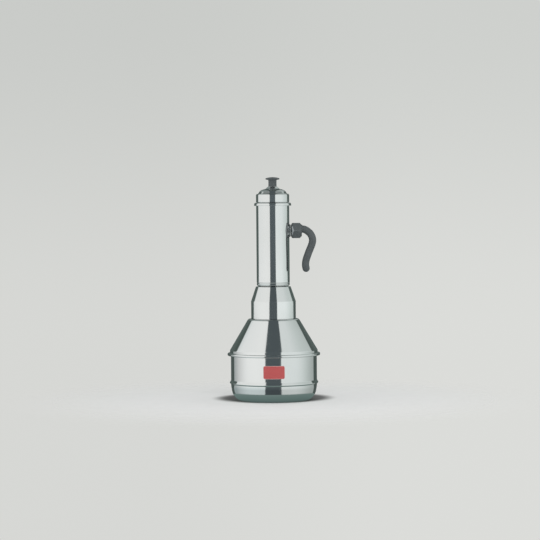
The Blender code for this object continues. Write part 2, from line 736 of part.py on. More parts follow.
def build_lid(tube_frame, aluminium, steel, brass, bakelite):
    """The group that lifts out of the tube's mouth: lid, knob and fastening."""
    lid_frame = add_frame("lid_frame", lid_seat, tube_frame)
    lid = add_piece("lid_cap", lid_cap(), aluminium, lid_frame)
    combine(lid, "DIFFERENCE", add_cutter("lid_vents", vent_drills(), lid_frame))
    knob_seat = boss_top + GAP
    add_piece("lid_knob", lid_knob(), bakelite, lid_frame, (0, 0, knob_seat))
    insert = tube_ring(KNOB_SCREW_RADIUS + GAP, KNOB_INSERT_RADIUS, 0, KNOB_INSERT_LENGTH, SMALL_STEPS)
    add_piece("knob_insert", insert, brass, lid_frame, (0, 0, knob_seat))
    washer_low = boss_top - LID_SHEET - GAP - KNOB_WASHER_SHEET
    washer = tube_ring(KNOB_SCREW_RADIUS + GAP, KNOB_WASHER_RADIUS, 0, KNOB_WASHER_SHEET, SMALL_STEPS)
    add_piece("knob_washer", washer, steel, lid_frame, (0, 0, washer_low))
    screw_seat = washer_low - GAP
    length = knob_seat + KNOB_SCREW_GRIP - screw_seat
    screw = headed_pin(
        KNOB_SCREW_RADIUS, KNOB_SCREW_HEAD, KNOB_SCREW_HEAD_HEIGHT, KNOB_SCREW_CROWN, length, SMALL_STEPS
    )
    upside_down = Matrix.Rotation(math.pi, 4, "X")
    add_piece("knob_screw", placed(screw, upside_down), steel, lid_frame, (0, 0, screw_seat))


def main():
    clear_scene()
    aluminium = make_material("polished_aluminium", (0.86, 0.87, 0.87), 0.12, 1.0)
    steel = make_material("plated_steel", (0.62, 0.62, 0.61), 0.25, 1.0)
    brass = make_material("brass", (0.72, 0.56, 0.28), 0.35, 1.0)
    bakelite = make_material("black_bakelite", (0.075, 0.083, 0.085), 0.35, 0.0)
    red_film = make_material("red_film", (0.62, 0.05, 0.05), 0.40, 0.0)
    pot_frame = build_pot(aluminium, red_film)
    tube_frame = build_tube(pot_frame, aluminium, steel, brass, bakelite)
    build_disc(tube_frame, aluminium)
    build_lid(tube_frame, aluminium, steel, brass, bakelite)


main()
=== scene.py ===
"""Looks of the aluminium puttu steamer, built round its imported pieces.

Metres, +Z up. Every turned piece shares the Z axis, the handle points along +X and the label faces -Y.
"""

import math

import bmesh
import bpy
from mathutils import Matrix, Vector
from mathutils.geometry import interpolate_bezier


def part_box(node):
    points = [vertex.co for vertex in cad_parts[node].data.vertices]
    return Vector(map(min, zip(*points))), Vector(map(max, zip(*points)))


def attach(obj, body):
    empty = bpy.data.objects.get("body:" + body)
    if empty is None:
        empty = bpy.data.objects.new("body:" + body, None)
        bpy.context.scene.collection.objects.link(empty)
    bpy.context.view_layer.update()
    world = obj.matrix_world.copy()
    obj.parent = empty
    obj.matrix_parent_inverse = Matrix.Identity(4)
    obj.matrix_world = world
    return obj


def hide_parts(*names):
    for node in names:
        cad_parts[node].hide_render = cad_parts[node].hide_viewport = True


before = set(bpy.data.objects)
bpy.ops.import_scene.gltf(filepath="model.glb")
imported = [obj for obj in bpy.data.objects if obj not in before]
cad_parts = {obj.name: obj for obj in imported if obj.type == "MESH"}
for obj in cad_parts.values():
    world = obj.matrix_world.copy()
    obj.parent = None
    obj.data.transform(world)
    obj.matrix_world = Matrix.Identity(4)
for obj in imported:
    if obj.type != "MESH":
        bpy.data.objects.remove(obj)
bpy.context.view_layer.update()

# General
GAP = 0.0003  # between two pieces that touch on the real object
ROUND = 128  # facets round a large turned piece
SMALL_ROUND = 64  # facets round a knob, screw or washer
PIN_ROUND = 32  # facets round a rivet, vent or steam hole
ARC_STEP = math.radians(7.5)
LEAST_TURN = math.radians(1)  # a flatter corner gets no fillet
FILLET_SHARE = 0.96  # how much of a run the fillets at its two ends may take up
SHARP_ANGLE = math.radians(32)
SUPPORT = 0.00015  # a straight run keeps its flat shading up to here from its ends
WELD = 0.000001
RAW_EDGE = 0.00035  # rounding of a sheet's cut edge

# Water pot
POT_SHEET = 0.0016
BASE_REACH = 0.0140
BASE_CORNER = 0.0120
KNEE_REACH = 0.0029
KNEE_HEIGHT = 0.0122
KNEE_BEND = 0.0200
BASE_RISE = 0.0275
BASE_BEND = 0.0300
BEAD_HEIGHT = 0.0348
BEAD_WIDTH = 0.0056
BEAD_DEPTH = 0.0024
BEAD_BEND = 0.0011
BEAD_EASE_LOW = 0.0006  # how far the bead's lower flank is set down
BEAD_EASE_HIGH = 0.0012  # how much its upper flank is drawn out at each end
FLANGE_BEND = 0.0010

# Lock seam and conical shoulder
SEAM_REACH = 0.0063
SEAM_BEND = 0.0017
SHOULDER_SHEET = 0.0014
FOOT_REACH = 0.0017
FOOT_HEIGHT = 0.0052
FOOT_BEND = 0.0005
CONE_HEIGHT = 0.0596
LEDGE_WIDTH = 0.0055
LEDGE_BEND = 0.0060
NECK_CLEARANCE = 0.0004
NECK_LIP = 0.0035
NECK_BEND = 0.0016
NECK_FOOT_BEND = 0.0008

# Tapered collar
COLLAR_SHEET = 0.0010
COLLAR_STRAIGHT = 0.0330
COLLAR_OVERHANG = 0.0016
COLLAR_BEND = 0.0026
COLLAR_TOP_BEND = 0.0012
CLINCH_WIDTH = 0.0060
CLINCH_FOLD = 0.0018
CLINCH_BEND = 0.0004

# Steamer tube
TUBE_SHEET = 0.0012
TUBE_CORNER = 0.0060
RIM_REACH = 0.0038
RIM_HEIGHT = 0.0059
RIM_TUCK = 0.0029
RIM_BEND = 0.0036
RIM_MOUTH_BEND = 0.0006
RIM_FOOT_BEND = 0.0005
CREASE_HEIGHT = 0.0064  # groove above the drawn corner
CREASE_DEPTH = 0.0006
CREASE_WIDTH = 0.0026
CREASE_BEND = 0.0003

# Perforated disc
HOLE_RADIUS = 0.0015
HOLE_PITCH = 0.0078
HOLE_RINGS = 3
HOLES_IN_FIRST_RING = 6
HOLE_EDGE = 0.0002
HOLE_STEPS = 24

# Lid
LID_SHEET = 0.0010
LID_EDGE_BEND = 0.0012
LID_SKIRT = 0.0166
LID_SHOULDER_BEND = 0.0034
SPIGOT_BEND = 0.0004
DOME_INSET = 0.0038
DOME_WALL = 0.0065
DOME_LEAN = 0.0046
DOME_BEND = 0.0095
DOME_FOOT_BEND = 0.0006
BOSS_FOOT = 0.0052
BOSS_EDGE = 0.0012
BOSS_BEND = 0.0030
BOSS_RISE = 0.0039
VENT_RADIUS = 0.0013
VENT_CIRCLE = 0.0175
VENT_COUNT = 5

# Lid knob and its screw
KNOB_FLARE = 0.0009
KNOB_EDGE = 0.0024
KNOB_EDGE_BEND = 0.0008
KNOB_CROWN = 0.0020
KNOB_CROWN_STEPS = 14
STEM_RADIUS = 0.0079
STEM_WAIST = 0.0002
STEM_FOOT_BEND = 0.0003
STEM_TOP_BEND = 0.0005
STEM_STEPS = 10
KNOB_INSERT_RADIUS = 0.0034
KNOB_INSERT_LENGTH = 0.0100
KNOB_SCREW_RADIUS = 0.0018
SCREW_HEAD_BEND = 0.0008
SCREW_RIM_BEND = 0.0002
SCREW_NECK_BEND = 0.0001
SCREW_TIP_BEND = 0.0004
KNOB_WASHER_EDGE = 0.0002
RECESS_LENGTH = 0.0042
RECESS_WIDTH = 0.0009
RECESS_DEPTH = 0.0014

# Handle bracket with its rivets
BRACKET_SHEET = 0.0008
BRACKET_CORNER = 0.0060
CUP_RADIUS = 0.0113
CUP_EDGE = 0.0007
CUP_FOOT = 0.0004
CUP_EDGE_STEPS = 6
CUP_FOOT_STEPS = 5
EAR_EDGE = 0.0002
EAR_SHARES_OUTSIDE = (0.15, 0.3, 0.45, 0.6, 0.75, 0.9)  # rings between the cup and the ears' edge
EAR_SHARES_INSIDE = (0.8, 0.5, 0.2)
BRACKET_ROUND = 96
RIVET_RADIUS = 0.0015
RIVET_HEAD = 0.0028
RIVET_HEAD_HEIGHT = 0.0014
RIVET_EDGE = 0.0002
RIVET_STEPS = 8
RIVET_SPREAD = 0.0125

# Handle
STUD_RADIUS = 0.0029
HANDLE_INSERT_RADIUS = 0.0048
HANDLE_INSERT_LENGTH = 0.0130
WASHER_EDGE = 0.00015
HANDLE_BOSS_FLATS = 0.0288
HANDLE_BOSS_LENGTH = 0.0201
HANDLE_BOSS_STEPS = 120
CHAMFER_STEPS = 8
NEAR_CHAMFER = 0.0022
FAR_CHAMFER = 0.0038
FACE_BEND = 0.0008
ARM_WIDTH = 0.0136
ARM_DEPTH = 0.0150
ARM_STEPS = 40
ARM_STEPS_PER_SPAN = 9
ARM_FLARE = 0.0016  # fillet between the arm and the boss
FLARE_STEPS = 6
TIP_STEPS = 9
PARTING_HEIGHT = 0.00010  # ridge left by the mould, in the plane of the hook
PARTING_SPREAD = math.radians(1.6)
PARTING_TURNS = (0.0, math.pi, math.tau)
# Centreline of the hook, (out, up) from the middle of the boss's far face
ARM_ROUTE = [
    (-0.0080, 0.0022),
    (0.0036, 0.0024),
    (0.0114, -0.0018),
    (0.0169, -0.0074),
    (0.0202, -0.0162),
    (0.0191, -0.0257),
    (0.0128, -0.0415),
    (0.0079, -0.0555),
    (0.0066, -0.0650),
    (0.0076, -0.0722),
]

# Label
LABEL_CORNER = 0.0030
LABEL_SHEET = 0.0004
LABEL_MARGIN = 0.0005  # pale border round the printed field
LABEL_ROUND = 160
LABEL_RINGS = 22

# Colours
POLISHED = (0.875, 0.88, 0.88)
BUFFED = (0.88, 0.90, 0.905)
PRESSED = (0.52, 0.54, 0.545)
MILLED = (0.74, 0.75, 0.76)
ZINC = (0.62, 0.62, 0.61)
BRASS = (0.72, 0.56, 0.28)
PRINT_RED = (0.50, 0.070, 0.068)
BORDER_PALE = (0.66, 0.50, 0.48)
BAKELITE_TONES = ((0.074, 0.084, 0.086), (0.088, 0.098, 0.100))
FILLER_TONE = (0.115, 0.123, 0.124)
# Edges of the bakelite, lighter as wear and as a painted highlight
WEAR_AND_HIGHLIGHT_TONE = (0.24, 0.26, 0.26)
# Painted highlight along the scallops of the handle's boss
SCALLOP_GLINT_TONE = (0.42, 0.45, 0.46)
# Shares of a metal's colour that are left where it is marked
CLOUDED = (0.965, 0.97, 0.965)
SCRATCHED = (0.93, 0.93, 0.93)
MOTTLED = (0.86, 0.86, 0.88)

# Marks on the aluminium
LEAST_LINE_RADIUS = 0.0005  # the turned lines' directions are divided by no less, at the axis
FLAT_DENSITY = 0.8  # turned lines on a flat face, as a share of those on a wall
SCRATCH_SCALE = (2600.0, 2600.0, 90.0)
SCRATCH_WAY = (0.5, 0.35, 0.2)
BUFFED_OVER = 0.0008  # distance over which the buffed tone sets in

# Depths of a fine grain and of moulded plastic's peel
GRAIN_DEPTH = 0.000003
PEEL_DEPTH = 0.000004

# Studio tones that the metal reflects, from straight ahead (0) round to straight behind (1)
DARK_TONES = [
    (0.0, (0.094, 0.115, 0.124)),
    (0.5, (0.10, 0.125, 0.125)),
    (0.75, (0.083, 0.110, 0.100)),
    (1.0, (0.115, 0.140, 0.135)),
]
LEFT_TONES = [
    (0.0, (0.80, 0.815, 0.80)),
    (0.30, (0.83, 0.845, 0.83)),
    (0.62, (0.79, 0.81, 0.80)),
    (0.72, (0.64, 0.69, 0.685)),
]
LEFT_UNDER_TONE = (0.81, 0.885, 0.90)  # tints the left band low down
RIGHT_TONES = [
    (0.0, (0.80, 0.845, 0.835)),
    (0.35, (0.77, 0.82, 0.81)),
    (0.55, (0.625, 0.69, 0.67)),
    (0.70, (0.55, 0.61, 0.59)),
]
LOW_SLOT_TONE = (0.39157, 0.42869, 0.41789)
LEFT_CROWN_TONE = (0.26225, 0.30499, 0.29614)
RIGHT_CROWN_TONE = (0.43415, 0.48515, 0.47353)
# Tones of the ground, from level (0) to straight down (1)
UNDER_TONES = [
    (0.88, (0.155, 0.220, 0.210)),
    (1.00, (0.065, 0.094, 0.088)),
]

# Zones of the studio, each setting in between two heights (z of the mirrored direction)
ZONES = {
    "collar": (-0.022, -0.040),
    "pot": (-0.045, -0.062),
    "foot": (-0.07, -0.22),
    "drawn_in": (-0.25, -0.40),
    "high": (0.25, 0.45),
}
ARM_ZONE_START = (-0.009, -0.012)
ARM_ZONE_END = (-0.0300, -0.0312)
SIDE_TURNS = (1.222, 2.321)  # radians from straight ahead
ALOFT = (0.770, 0.805)  # above it only these shares of the bands are left
LEFT_ALOFT = 0.20
RIGHT_ALOFT = 0.30
ALOFT_LEAN = 0.35
SLOT_SOFTNESS = 0.018
LEFT_SLOT_SLOPE = 0.07
RIGHT_SLOT_SLOPE = 0.046
BACK_SOFTNESS = 0.045
LOW_SLOT = (-0.58, -0.70)  # below it the slot in front is pale
LOW_SLOT_TURNS = (0.60, 0.90)
DIMMED = (-0.10, -0.55)
DIMMED_SHARE = 0.72
CROWN_LEAN = 1.8
CROWN_TURNS = (3.26, 3.40)
CROWN_SIDES = (0.20, 0.34)
CROWN_MIDDLE = (-0.1, 0.1)
UNDERFOOT = (-0.85, -0.93)

# Soft light for everything but mirrors and the camera, and the backdrop that the camera sees
SOFT_LIGHT = (0.96, 0.98, 1.0)
SOFT_STRENGTH = (0.30, 0.65, 1.2, 0.40)  # between these heights it falls from 1.2 to 0.4
UPPER_BACKDROP = (0.59720, 0.61050, 0.59062)
LOWER_BACKDROP = (0.68669, 0.69387, 0.67244)
HORIZON = (0.09, -0.06)
BACKDROP_SIDES = (-0.06, 0.07, 0.985, 1.035)  # a little lighter on the right

# Camera and lamp
CAMERA_PLACE = (-0.0060, -4.2, 0.372)
CAMERA_LENS = 147.4  # mm, for a sensor 36 mm wide
CAMERA_DIP = 1.70  # degrees, like the roll
CAMERA_ROLL = -0.47
LAMP_PLACE = (0.15, -0.8, 1.7)
LAMP_AIM = (0.0, 0.0, 0.15)
LAMP_SIZE = 0.8
LAMP_ENERGY = 9.5

# Floor
FLOOR_TONES = ((0.91, 0.91, 0.89), (0.925, 0.925, 0.905))
FLOOR_RADII = (0, 0.08, 0.16, 0.3, 0.6)
FLOOR_FADE = (0.16, 0.55)

# Painted shadow on the floor, softer and wider than the lamp alone would cast
SHADOW_CENTRE = (0.0, 0.045, 0.0)
SHADOW_EDGE = (0.090, 0.124)
SHADOW_SHARE = 0.23  # of the floor's tone is left in its middle

# Painted shadow that the foot of the pot mirrors, a dark glow on the floor that only reflections see, from
# the axis (0) out to its edge (1)
MIRRORED_SHADOW_RADIUS = 0.1015
MIRRORED_SHADOW_SOFTNESS = 0.0005
MIRRORED_SHADOW_TONES = [
    (0.61, (0.069, 0.091, 0.086)),
    (0.74, (0.126, 0.184, 0.173)),
    (1.0, (0.17, 0.23, 0.217)),
]

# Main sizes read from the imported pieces
seam_low, seam_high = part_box("pot_shoulder")
flange_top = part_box("pot_body")[1].z
collar_low, collar_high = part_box("tube_collar")
tube_low, tube_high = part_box("steamer_tube")
lid_low, lid_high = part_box("lid_cap")
knob_low, knob_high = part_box("lid_knob")
bracket_low, bracket_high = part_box("handle_bracket")
washer_low, washer_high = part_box("handle_washer")
label_low, label_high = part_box("front_label")
disc_low, disc_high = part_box("perforated_disc")
screw_low, screw_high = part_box("knob_screw")
knob_washer_low, knob_washer_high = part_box("knob_washer")

seam_radius = seam_high.x
pot_radius = seam_radius - SEAM_REACH
pot_wall_height = flange_top - POT_SHEET
seam_top = flange_top + GAP + SHOULDER_SHEET
seam_bottom = seam_low.z
ledge_height = seam_top + FOOT_HEIGHT + CONE_HEIGHT
collar_radius = collar_high.x
neck_radius = collar_radius - COLLAR_SHEET - NECK_CLEARANCE
tube_radius = tube_high.x - RIM_REACH
bore_radius = tube_radius - TUBE_SHEET
clinch_radius = bore_radius - CLINCH_WIDTH
collar_top = tube_low.z - GAP
lid_radius = lid_high.x
lid_seat = tube_high.z + GAP
spigot_radius = bore_radius - NECK_CLEARANCE
handle_height = (bracket_low.z + bracket_high.z) / 2
cup_face = bracket_high.x
bracket_radius = tube_radius + GAP + BRACKET_SHEET
handle_face = washer_high.x + GAP
far_face = handle_face + HANDLE_BOSS_LENGTH
ear_angle = math.asin(bracket_high.y / bracket_radius)
rivet_angle = (math.asin(CUP_RADIUS / bracket_radius) + ear_angle) / 2


class Graph:
    """Short forms for building a node tree. Colours have no alpha."""

    def __init__(self, tree):
        self.tree = tree
        tree.nodes.clear()

    def feed(self, socket, value):
        """Sets a socket to a value, or links it to another socket."""
        if isinstance(value, bpy.types.NodeSocket):
            self.tree.links.new(value, socket)
        else:
            socket.default_value = (*value, 1.0) if socket.type == "RGBA" else value

    def add(self, kind, settings=None, **values):
        """A node with its settings and inputs. An input's name is written with _ for each space."""
        node = self.tree.nodes.new("ShaderNode" + kind)
        for name, value in (settings or {}).items():
            setattr(node, name, value)
        for name, value in values.items():
            self.feed(node.inputs[name.replace("_", " ")], value)
        return node

    def calc(self, operation, *values):
        """A Math node's result."""
        node = self.add("Math", {"operation": operation})
        for socket, value in zip(node.inputs, values):
            self.feed(socket, value)
        return node.outputs[0]

    def times(self, product, *values):
        """All the values multiplied."""
        for value in values:
            product = self.calc("MULTIPLY", product, value)
        return product

    def total(self, base, *terms):
        """The base plus each mask times its amount."""
        for mask, amount in terms:
            base = self.calc("ADD", base, self.times(mask, amount))
        return base

    def split(self, vector):
        """The x, y and z of a vector."""
        return self.add("SeparateXYZ", Vector=vector).outputs

    def distance(self, vector, point):
        """How far the vector's end is from a point."""
        node = self.add("VectorMath", {"operation": "DISTANCE"}, Vector=vector)
        node.inputs[1].default_value = point
        return node.outputs["Value"]

    def ease(self, value, low, high, start=0.0, end=1.0):
        """The value carried smoothly from the range low to high into the range start to end."""
        node = self.add("MapRange", {"interpolation_type": "SMOOTHSTEP"}, Value=value)
        for name, limit in (("From Min", low), ("From Max", high), ("To Min", start), ("To Max", end)):
            node.inputs[name].default_value = limit
        return node.outputs["Result"]

    def blend(self, share, first, second, mode="MIX"):
        """Two colours mixed by a share from 0 to 1."""
        node = self.add("Mix", {"data_type": "RGBA", "blend_type": mode})
        for place, value in ((0, share), (6, first), (7, second)):
            self.feed(node.inputs[place], value)
        return node.outputs[2]

    def shaded(self, colour, value):
        """The colour times a value."""
        grey = self.add("CombineColor", Red=value, Green=value, Blue=value).outputs[0]
        return self.blend(1.0, colour, grey, "MULTIPLY")

    def ramp(self, value, stops):
        """A colour ramp through (place, colour) stops."""
        node = self.add("ValToRGB", Fac=value)
        elements = node.color_ramp.elements
        for i, (place, colour) in enumerate(stops):
            stop = elements[i] if i < 2 else elements.new(place)
            stop.position = place
            stop.color = (*colour, 1.0)
        return node.outputs["Color"]

    def mix_shader(self, share, first, second):
        """Two shaders mixed by a share from 0 to 1."""
        node = self.add("MixShader")
        for socket, value in zip(node.inputs, (share, first, second)):
            self.feed(socket, value)
        return node.outputs[0]

    def noise(self, vector, scale, detail=2.0, roughness=0.5):
        """A noise pattern's value."""
        node = self.add("TexNoise", Vector=vector, Scale=scale, Detail=detail, Roughness=roughness)
        return node.outputs["Fac"]

    def bump(self, height, distance, **under):
        """A bumped normal, laid on another one where that is given as Normal."""
        return self.add("Bump", Height=height, Distance=distance, **under).outputs[0]


def scaled(colour, shares):
    """A colour with each of its three values times a share."""
    return tuple(value * share for value, share in zip(colour, shares))


def new_material(name):
    """A material, the graph of its empty node tree, and the place on the piece."""
    material = bpy.data.materials.new(name)
    material.use_nodes = True
    graph = Graph(material.node_tree)
    return material, graph, graph.add("TexCoord").outputs["Object"]


def end_material(graph, **looks):
    """Ends a material with a Principled shader that has these inputs."""
    shader = graph.add("BsdfPrincipled", **looks)
    graph.add("OutputMaterial", Surface=shader.outputs["BSDF"])


def turned_lines(graph, place, density):
    """Fine lines that run round the Z axis, each a little uneven along its length."""
    x, y, z = graph.split(place)
    radius = graph.calc("SQRT", graph.total(graph.times(x, x), (y, y)))
    safe = graph.calc("MAXIMUM", radius, LEAST_LINE_RADIUS)
    along = graph.total(graph.times(z, density), (radius, density * FLAT_DENSITY))
    lines = graph.add("CombineXYZ", X=graph.calc("DIVIDE", x, safe), Y=graph.calc("DIVIDE", y, safe), Z=along)
    return graph.noise(lines.outputs[0], 1.0, 4.0, 0.65)


def aluminium(name, colour, rough_range, turning, wave_depth, proud=None):
    """Spun aluminium: turned lines, faint smudges, hairline scratches and slightly uneven sheet.

    It is buffed bright from the distance proud outwards along X.
    """
    low_rough, high_rough = rough_range
    line_density, line_depth = turning
    material, graph, place = new_material(name)
    lines = turned_lines(graph, place, line_density)
    waves = graph.noise(place, 26.0, 1.0)
    cloud = graph.ease(graph.noise(place, 11.0, 2.0), 0.3, 0.75)
    wiped = graph.ease(graph.noise(place, 34.0, 4.0, 0.6), 0.45, 0.72)
    drawn_out = graph.add("Mapping", Vector=place, Scale=SCRATCH_SCALE, Rotation=SCRATCH_WAY)
    scratch = graph.ease(graph.noise(drawn_out.outputs[0], 1.0, 1.0), 0.73, 0.78)
    rough = graph.ease(lines, 0.25, 0.75, low_rough, low_rough * 0.4 + high_rough * 0.6)
    rough = graph.total(rough, (wiped, high_rough - low_rough), (scratch, 0.05))
    tint = graph.blend(cloud, colour, scaled(colour, CLOUDED))
    tint = graph.blend(graph.times(scratch, 0.5), tint, scaled(colour, SCRATCHED))
    if proud is not None:
        out = graph.split(place)["X"]
        tint = graph.blend(graph.ease(out, proud, proud + BUFFED_OVER), tint, BUFFED)
    normal = graph.bump(lines, line_depth, Normal=graph.bump(waves, wave_depth))
    end_material(graph, Base_Color=tint, Metallic=1.0, Roughness=rough, Normal=normal)
    return material


def plain_metal(name, colour, rough):
    """A small fitting's metal: mottled colour and a fine grain."""
    material, graph, place = new_material(name)
    mottle = graph.noise(place, 420.0, 4.0, 0.6)
    tint = graph.blend(graph.ease(mottle, 0.35, 0.7), colour, scaled(colour, MOTTLED))
    uneven = graph.ease(mottle, 0.3, 0.75, rough, rough * 1.5)
    normal = graph.bump(graph.noise(place, 2400.0, 2.0), GRAIN_DEPTH)
    end_material(graph, Base_Color=tint, Metallic=1.0, Roughness=uneven, Normal=normal)
    return material


def scallop_glint_mask(graph, place):
    """Where the flats of the handle's boss meet its near chamfer, a painted highlight along the edge, kept
    near the middle of its height.
    """
    apothem = HANDLE_BOSS_FLATS / 2
    x, y, z = graph.split(place)
    up = graph.calc("SUBTRACT", z, handle_height)
    spoke = graph.calc("SQRT", graph.total(graph.times(y, y), (up, up)))
    past = graph.calc("SUBTRACT", graph.calc("SUBTRACT", x, spoke), handle_face + NEAR_CHAMFER - apothem)
    near_edge = graph.ease(past, -0.0003, 0.0001)
    far_edge = graph.ease(past, 0.0011, 0.0006)
    outside = graph.ease(spoke, apothem - 0.0008, apothem - 0.0003)
    # The painted highlight is kept near the middle of the boss's height
    midway = graph.ease(graph.calc("ABSOLUTE", up), 0.0090, 0.0060)
    return graph.times(near_edge, far_edge, outside, midway)


def bakelite(name, painted_scallop_glint):
    """Moulded black plastic: semi-gloss, faintly mottled, its edges lightened as wear and as a painted
    highlight, and where asked a painted highlight along the boss's scallops.
    """
    material, graph, place = new_material(name)
    flow = graph.noise(place, 95.0, 3.0, 0.6)
    filler = graph.ease(graph.noise(place, 900.0, 5.0, 0.65), 0.6, 0.72, 0.0, 0.5)
    # Edges lightened by pointiness, partly as wear and partly as a painted highlight
    edges = graph.ease(graph.add("NewGeometry").outputs["Pointiness"], 0.53, 0.60, 0.0, 0.8)
    tint = graph.blend(graph.ease(flow, 0.3, 0.7), *BAKELITE_TONES)
    tint = graph.blend(filler, tint, FILLER_TONE)
    tint = graph.blend(edges, tint, WEAR_AND_HIGHLIGHT_TONE)
    # A painted highlight along the scallops of the handle's boss
    if painted_scallop_glint:
        glint_share = graph.times(scallop_glint_mask(graph, place), graph.ease(flow, 0.25, 0.75, 0.5, 1.0))
        tint = graph.blend(glint_share, tint, SCALLOP_GLINT_TONE)
    rough = graph.ease(flow, 0.3, 0.75, 0.36, 0.46)
    normal = graph.bump(graph.noise(place, 1500.0, 2.0), PEEL_DEPTH)
    end_material(graph, Base_Color=tint, Roughness=rough, IOR=1.5, Specular_IOR_Level=0.3, Normal=normal)
    return material


def film(name, colour, print_shift):
    """Printed film: a fine print grain under a soft sheen."""
    material, graph, place = new_material(name)
    grain = graph.noise(place, 3200.0, 3.0, 0.7)
    lighter = [value + (1 - value) * print_shift for value in colour]
    tint = graph.blend(graph.ease(grain, 0.35, 0.75, 0.0, 0.6), colour, lighter)
    rough = graph.ease(graph.noise(place, 120.0, 2.0), 0.3, 0.7, 0.34, 0.44)
    normal = graph.bump(grain, GRAIN_DEPTH)
    end_material(graph, Base_Color=tint, Roughness=rough, Specular_IOR_Level=0.35, Normal=normal)
    return material


def fillet_reach(before, point, after, fillet):
    """How far a corner's fillet takes up the runs beside it."""
    turn = math.pi - (before - point).angle(after - point)
    return max(fillet, 0) * math.tan(turn / 2) if turn > LEAST_TURN else 0.0


def bend(before, point, after, reach):
    """The corner as an arc that reaches this far along both runs, or as itself where it has no fillet."""
    if reach <= 0:
        return [point]
    back = (before - point).normalized()
    on = (after - point).normalized()
    turn = math.pi - back.angle(on)
    centre = point + (back + on).normalized() * reach / math.tan(turn / 2) / math.cos(turn / 2)
    side = 1 if on.cross(back) > 0 else -1
    steps = max(2, math.ceil(turn / ARC_STEP))
    arm = point + back * reach - centre
    return [centre + Matrix.Rotation(side * turn * k / steps, 2) @ arm for k in range(steps + 1)]


def rounded(corners, closed=False):
    """Points along (r, z, fillet) corners, with arcs, and with support points in the straight runs."""
    points = [Vector(corner[:2]) for corner in corners]
    count = len(points)
    ends = () if closed else (0, count - 1)
    around = [(points[i - 1], points[i], points[(i + 1) % count]) for i in range(count)]
    reaches = [0.0 if i in ends else fillet_reach(*around[i], corners[i][2]) for i in range(count)]
    bends = []
    for i, (before, point, after) in enumerate(around):
        room = 1.0
        for neighbour, j in ((before, i - 1), (after, (i + 1) % count)):
            if reaches[i] > 0:
                room = min(room, FILLET_SHARE * (neighbour - point).length / (reaches[i] + reaches[j]))
        bends.append(bend(before, point, after, reaches[i] * room))
    line = []
    for here, there in zip(bends, bends[1:] + (bends[:1] if closed else [])):
        line += here
        run = there[0] - here[-1]
        if run.length > 4 * SUPPORT:
            line += [here[-1] + run.normalized() * SUPPORT, there[0] - run.normalized() * SUPPORT]
    return line if closed else line + bends[-1]


def beside(corners, distance):
    """The same run of corners moved sideways, to its left where distance is positive."""
    points = [Vector(corner[:2]) for corner in corners]
    ways = [(b - a).normalized() for a, b in zip(points, points[1:])]
    aside = []
    for i, point in enumerate(points):
        before = ways[max(i - 1, 0)]
        after = ways[min(i, len(ways) - 1)]
        left = Vector((-after.y, after.x))
        mitre = (Vector((-before.y, before.x)) + left).normalized()
        shifted = point + mitre * distance / mitre.dot(left)
        radius = distance if before.cross(after) > 0 else -distance
        aside.append((shifted.x, shifted.y, max(corners[i][2] - radius, 0)))
    return aside


def full_turn(steps):
    """Angles of equal steps all the way round."""
    return [math.tau * k / steps for k in range(steps)]


def quarter_turn(steps):
    """Angles from 0 to a right angle, both included."""
    return [math.pi / 2 * k / steps for k in range(steps + 1)]


def circle(radius, steps, z, middle=(0.0, 0.0)):
    """Points of a circle at a height."""
    x, y = middle
    return [(x + radius * math.cos(turn), y + radius * math.sin(turn), z) for turn in full_turn(steps)]


def ringed(rings, closed=False, cap=False):
    """A mesh through rings of points, closed into a loop or capped. A ring may be one point."""
    points, loops, faces = [], [], []
    for ring in rings:
        loops.append(range(len(points), len(points) + len(ring)))
        points += ring
    for low, high in zip(loops, loops[1:] + (loops[:1] if closed else [])):
        steps = max(len(low), len(high))
        for k in range(steps):
            n = (k + 1) % steps
            corners = (low[k % len(low)], low[n % len(low)], high[n % len(high)], high[k % len(high)])
            face = list(dict.fromkeys(corners))
            if len(face) > 2:
                faces.append(face)
    if cap:
        faces += [list(loops[0]), list(loops[-1])]
    mesh = bpy.data.meshes.new("shape")
    mesh.from_pydata(points, [], faces)
    shape = bmesh.new()
    shape.from_mesh(mesh)
    bpy.data.meshes.remove(mesh)
    return shape


def turned(line, closed=False, steps=ROUND):
    """A mesh of revolution about Z from a line of (r, z) points."""
    return ringed([circle(r, 1 if r < WELD else steps, z) for r, z in line], closed)


def sheet(corners, thickness):
    """A turned piece of bent sheet, on the left of its corners where its thickness is positive."""
    outer, inner = list(corners), beside(corners, thickness)[::-1]
    closed = corners[0][0] > WELD
    ends = [(outer, -1), (inner, 0)] + ([(outer, 0), (inner, -1)] if closed else [])
    for side, cut_edge in ends:
        side[cut_edge] = (*side[cut_edge][:2], RAW_EDGE)
    return turned(rounded(outer + inner, closed), closed)


def drill(radius, low, high, steps=PIN_ROUND):
    """A plain cylinder about Z."""
    return turned(rounded([(0, low, 0), (radius, low, 0), (radius, high, 0), (0, high, 0)]), False, steps)


def moved(shape, matrix):
    """The bmesh moved by a matrix."""
    bmesh.ops.transform(shape, matrix=matrix, verts=shape.verts)
    return shape


def out_along_x(distance, height, angle=0.0):
    """Turns a shape made about Z to point outwards from the axis, at an angle round it."""
    outwards = Matrix.Rotation(angle, 4, "Z") @ Matrix.Translation((distance, 0, 0))
    return Matrix.Translation((0, 0, height)) @ outwards @ Matrix.Rotation(math.pi / 2, 4, "Y")


def in_scene(name, data):
    """A new object in the scene."""
    made = bpy.data.objects.new(name, data)
    bpy.context.scene.collection.objects.link(made)
    return made


def as_object(name, shape):
    """An object in the scene, made from a bmesh whose faces are turned outwards."""
    bmesh.ops.recalc_face_normals(shape, faces=shape.faces)
    mesh = bpy.data.meshes.new(name)
    shape.to_mesh(mesh)
    shape.free()
    return in_scene(name, mesh)


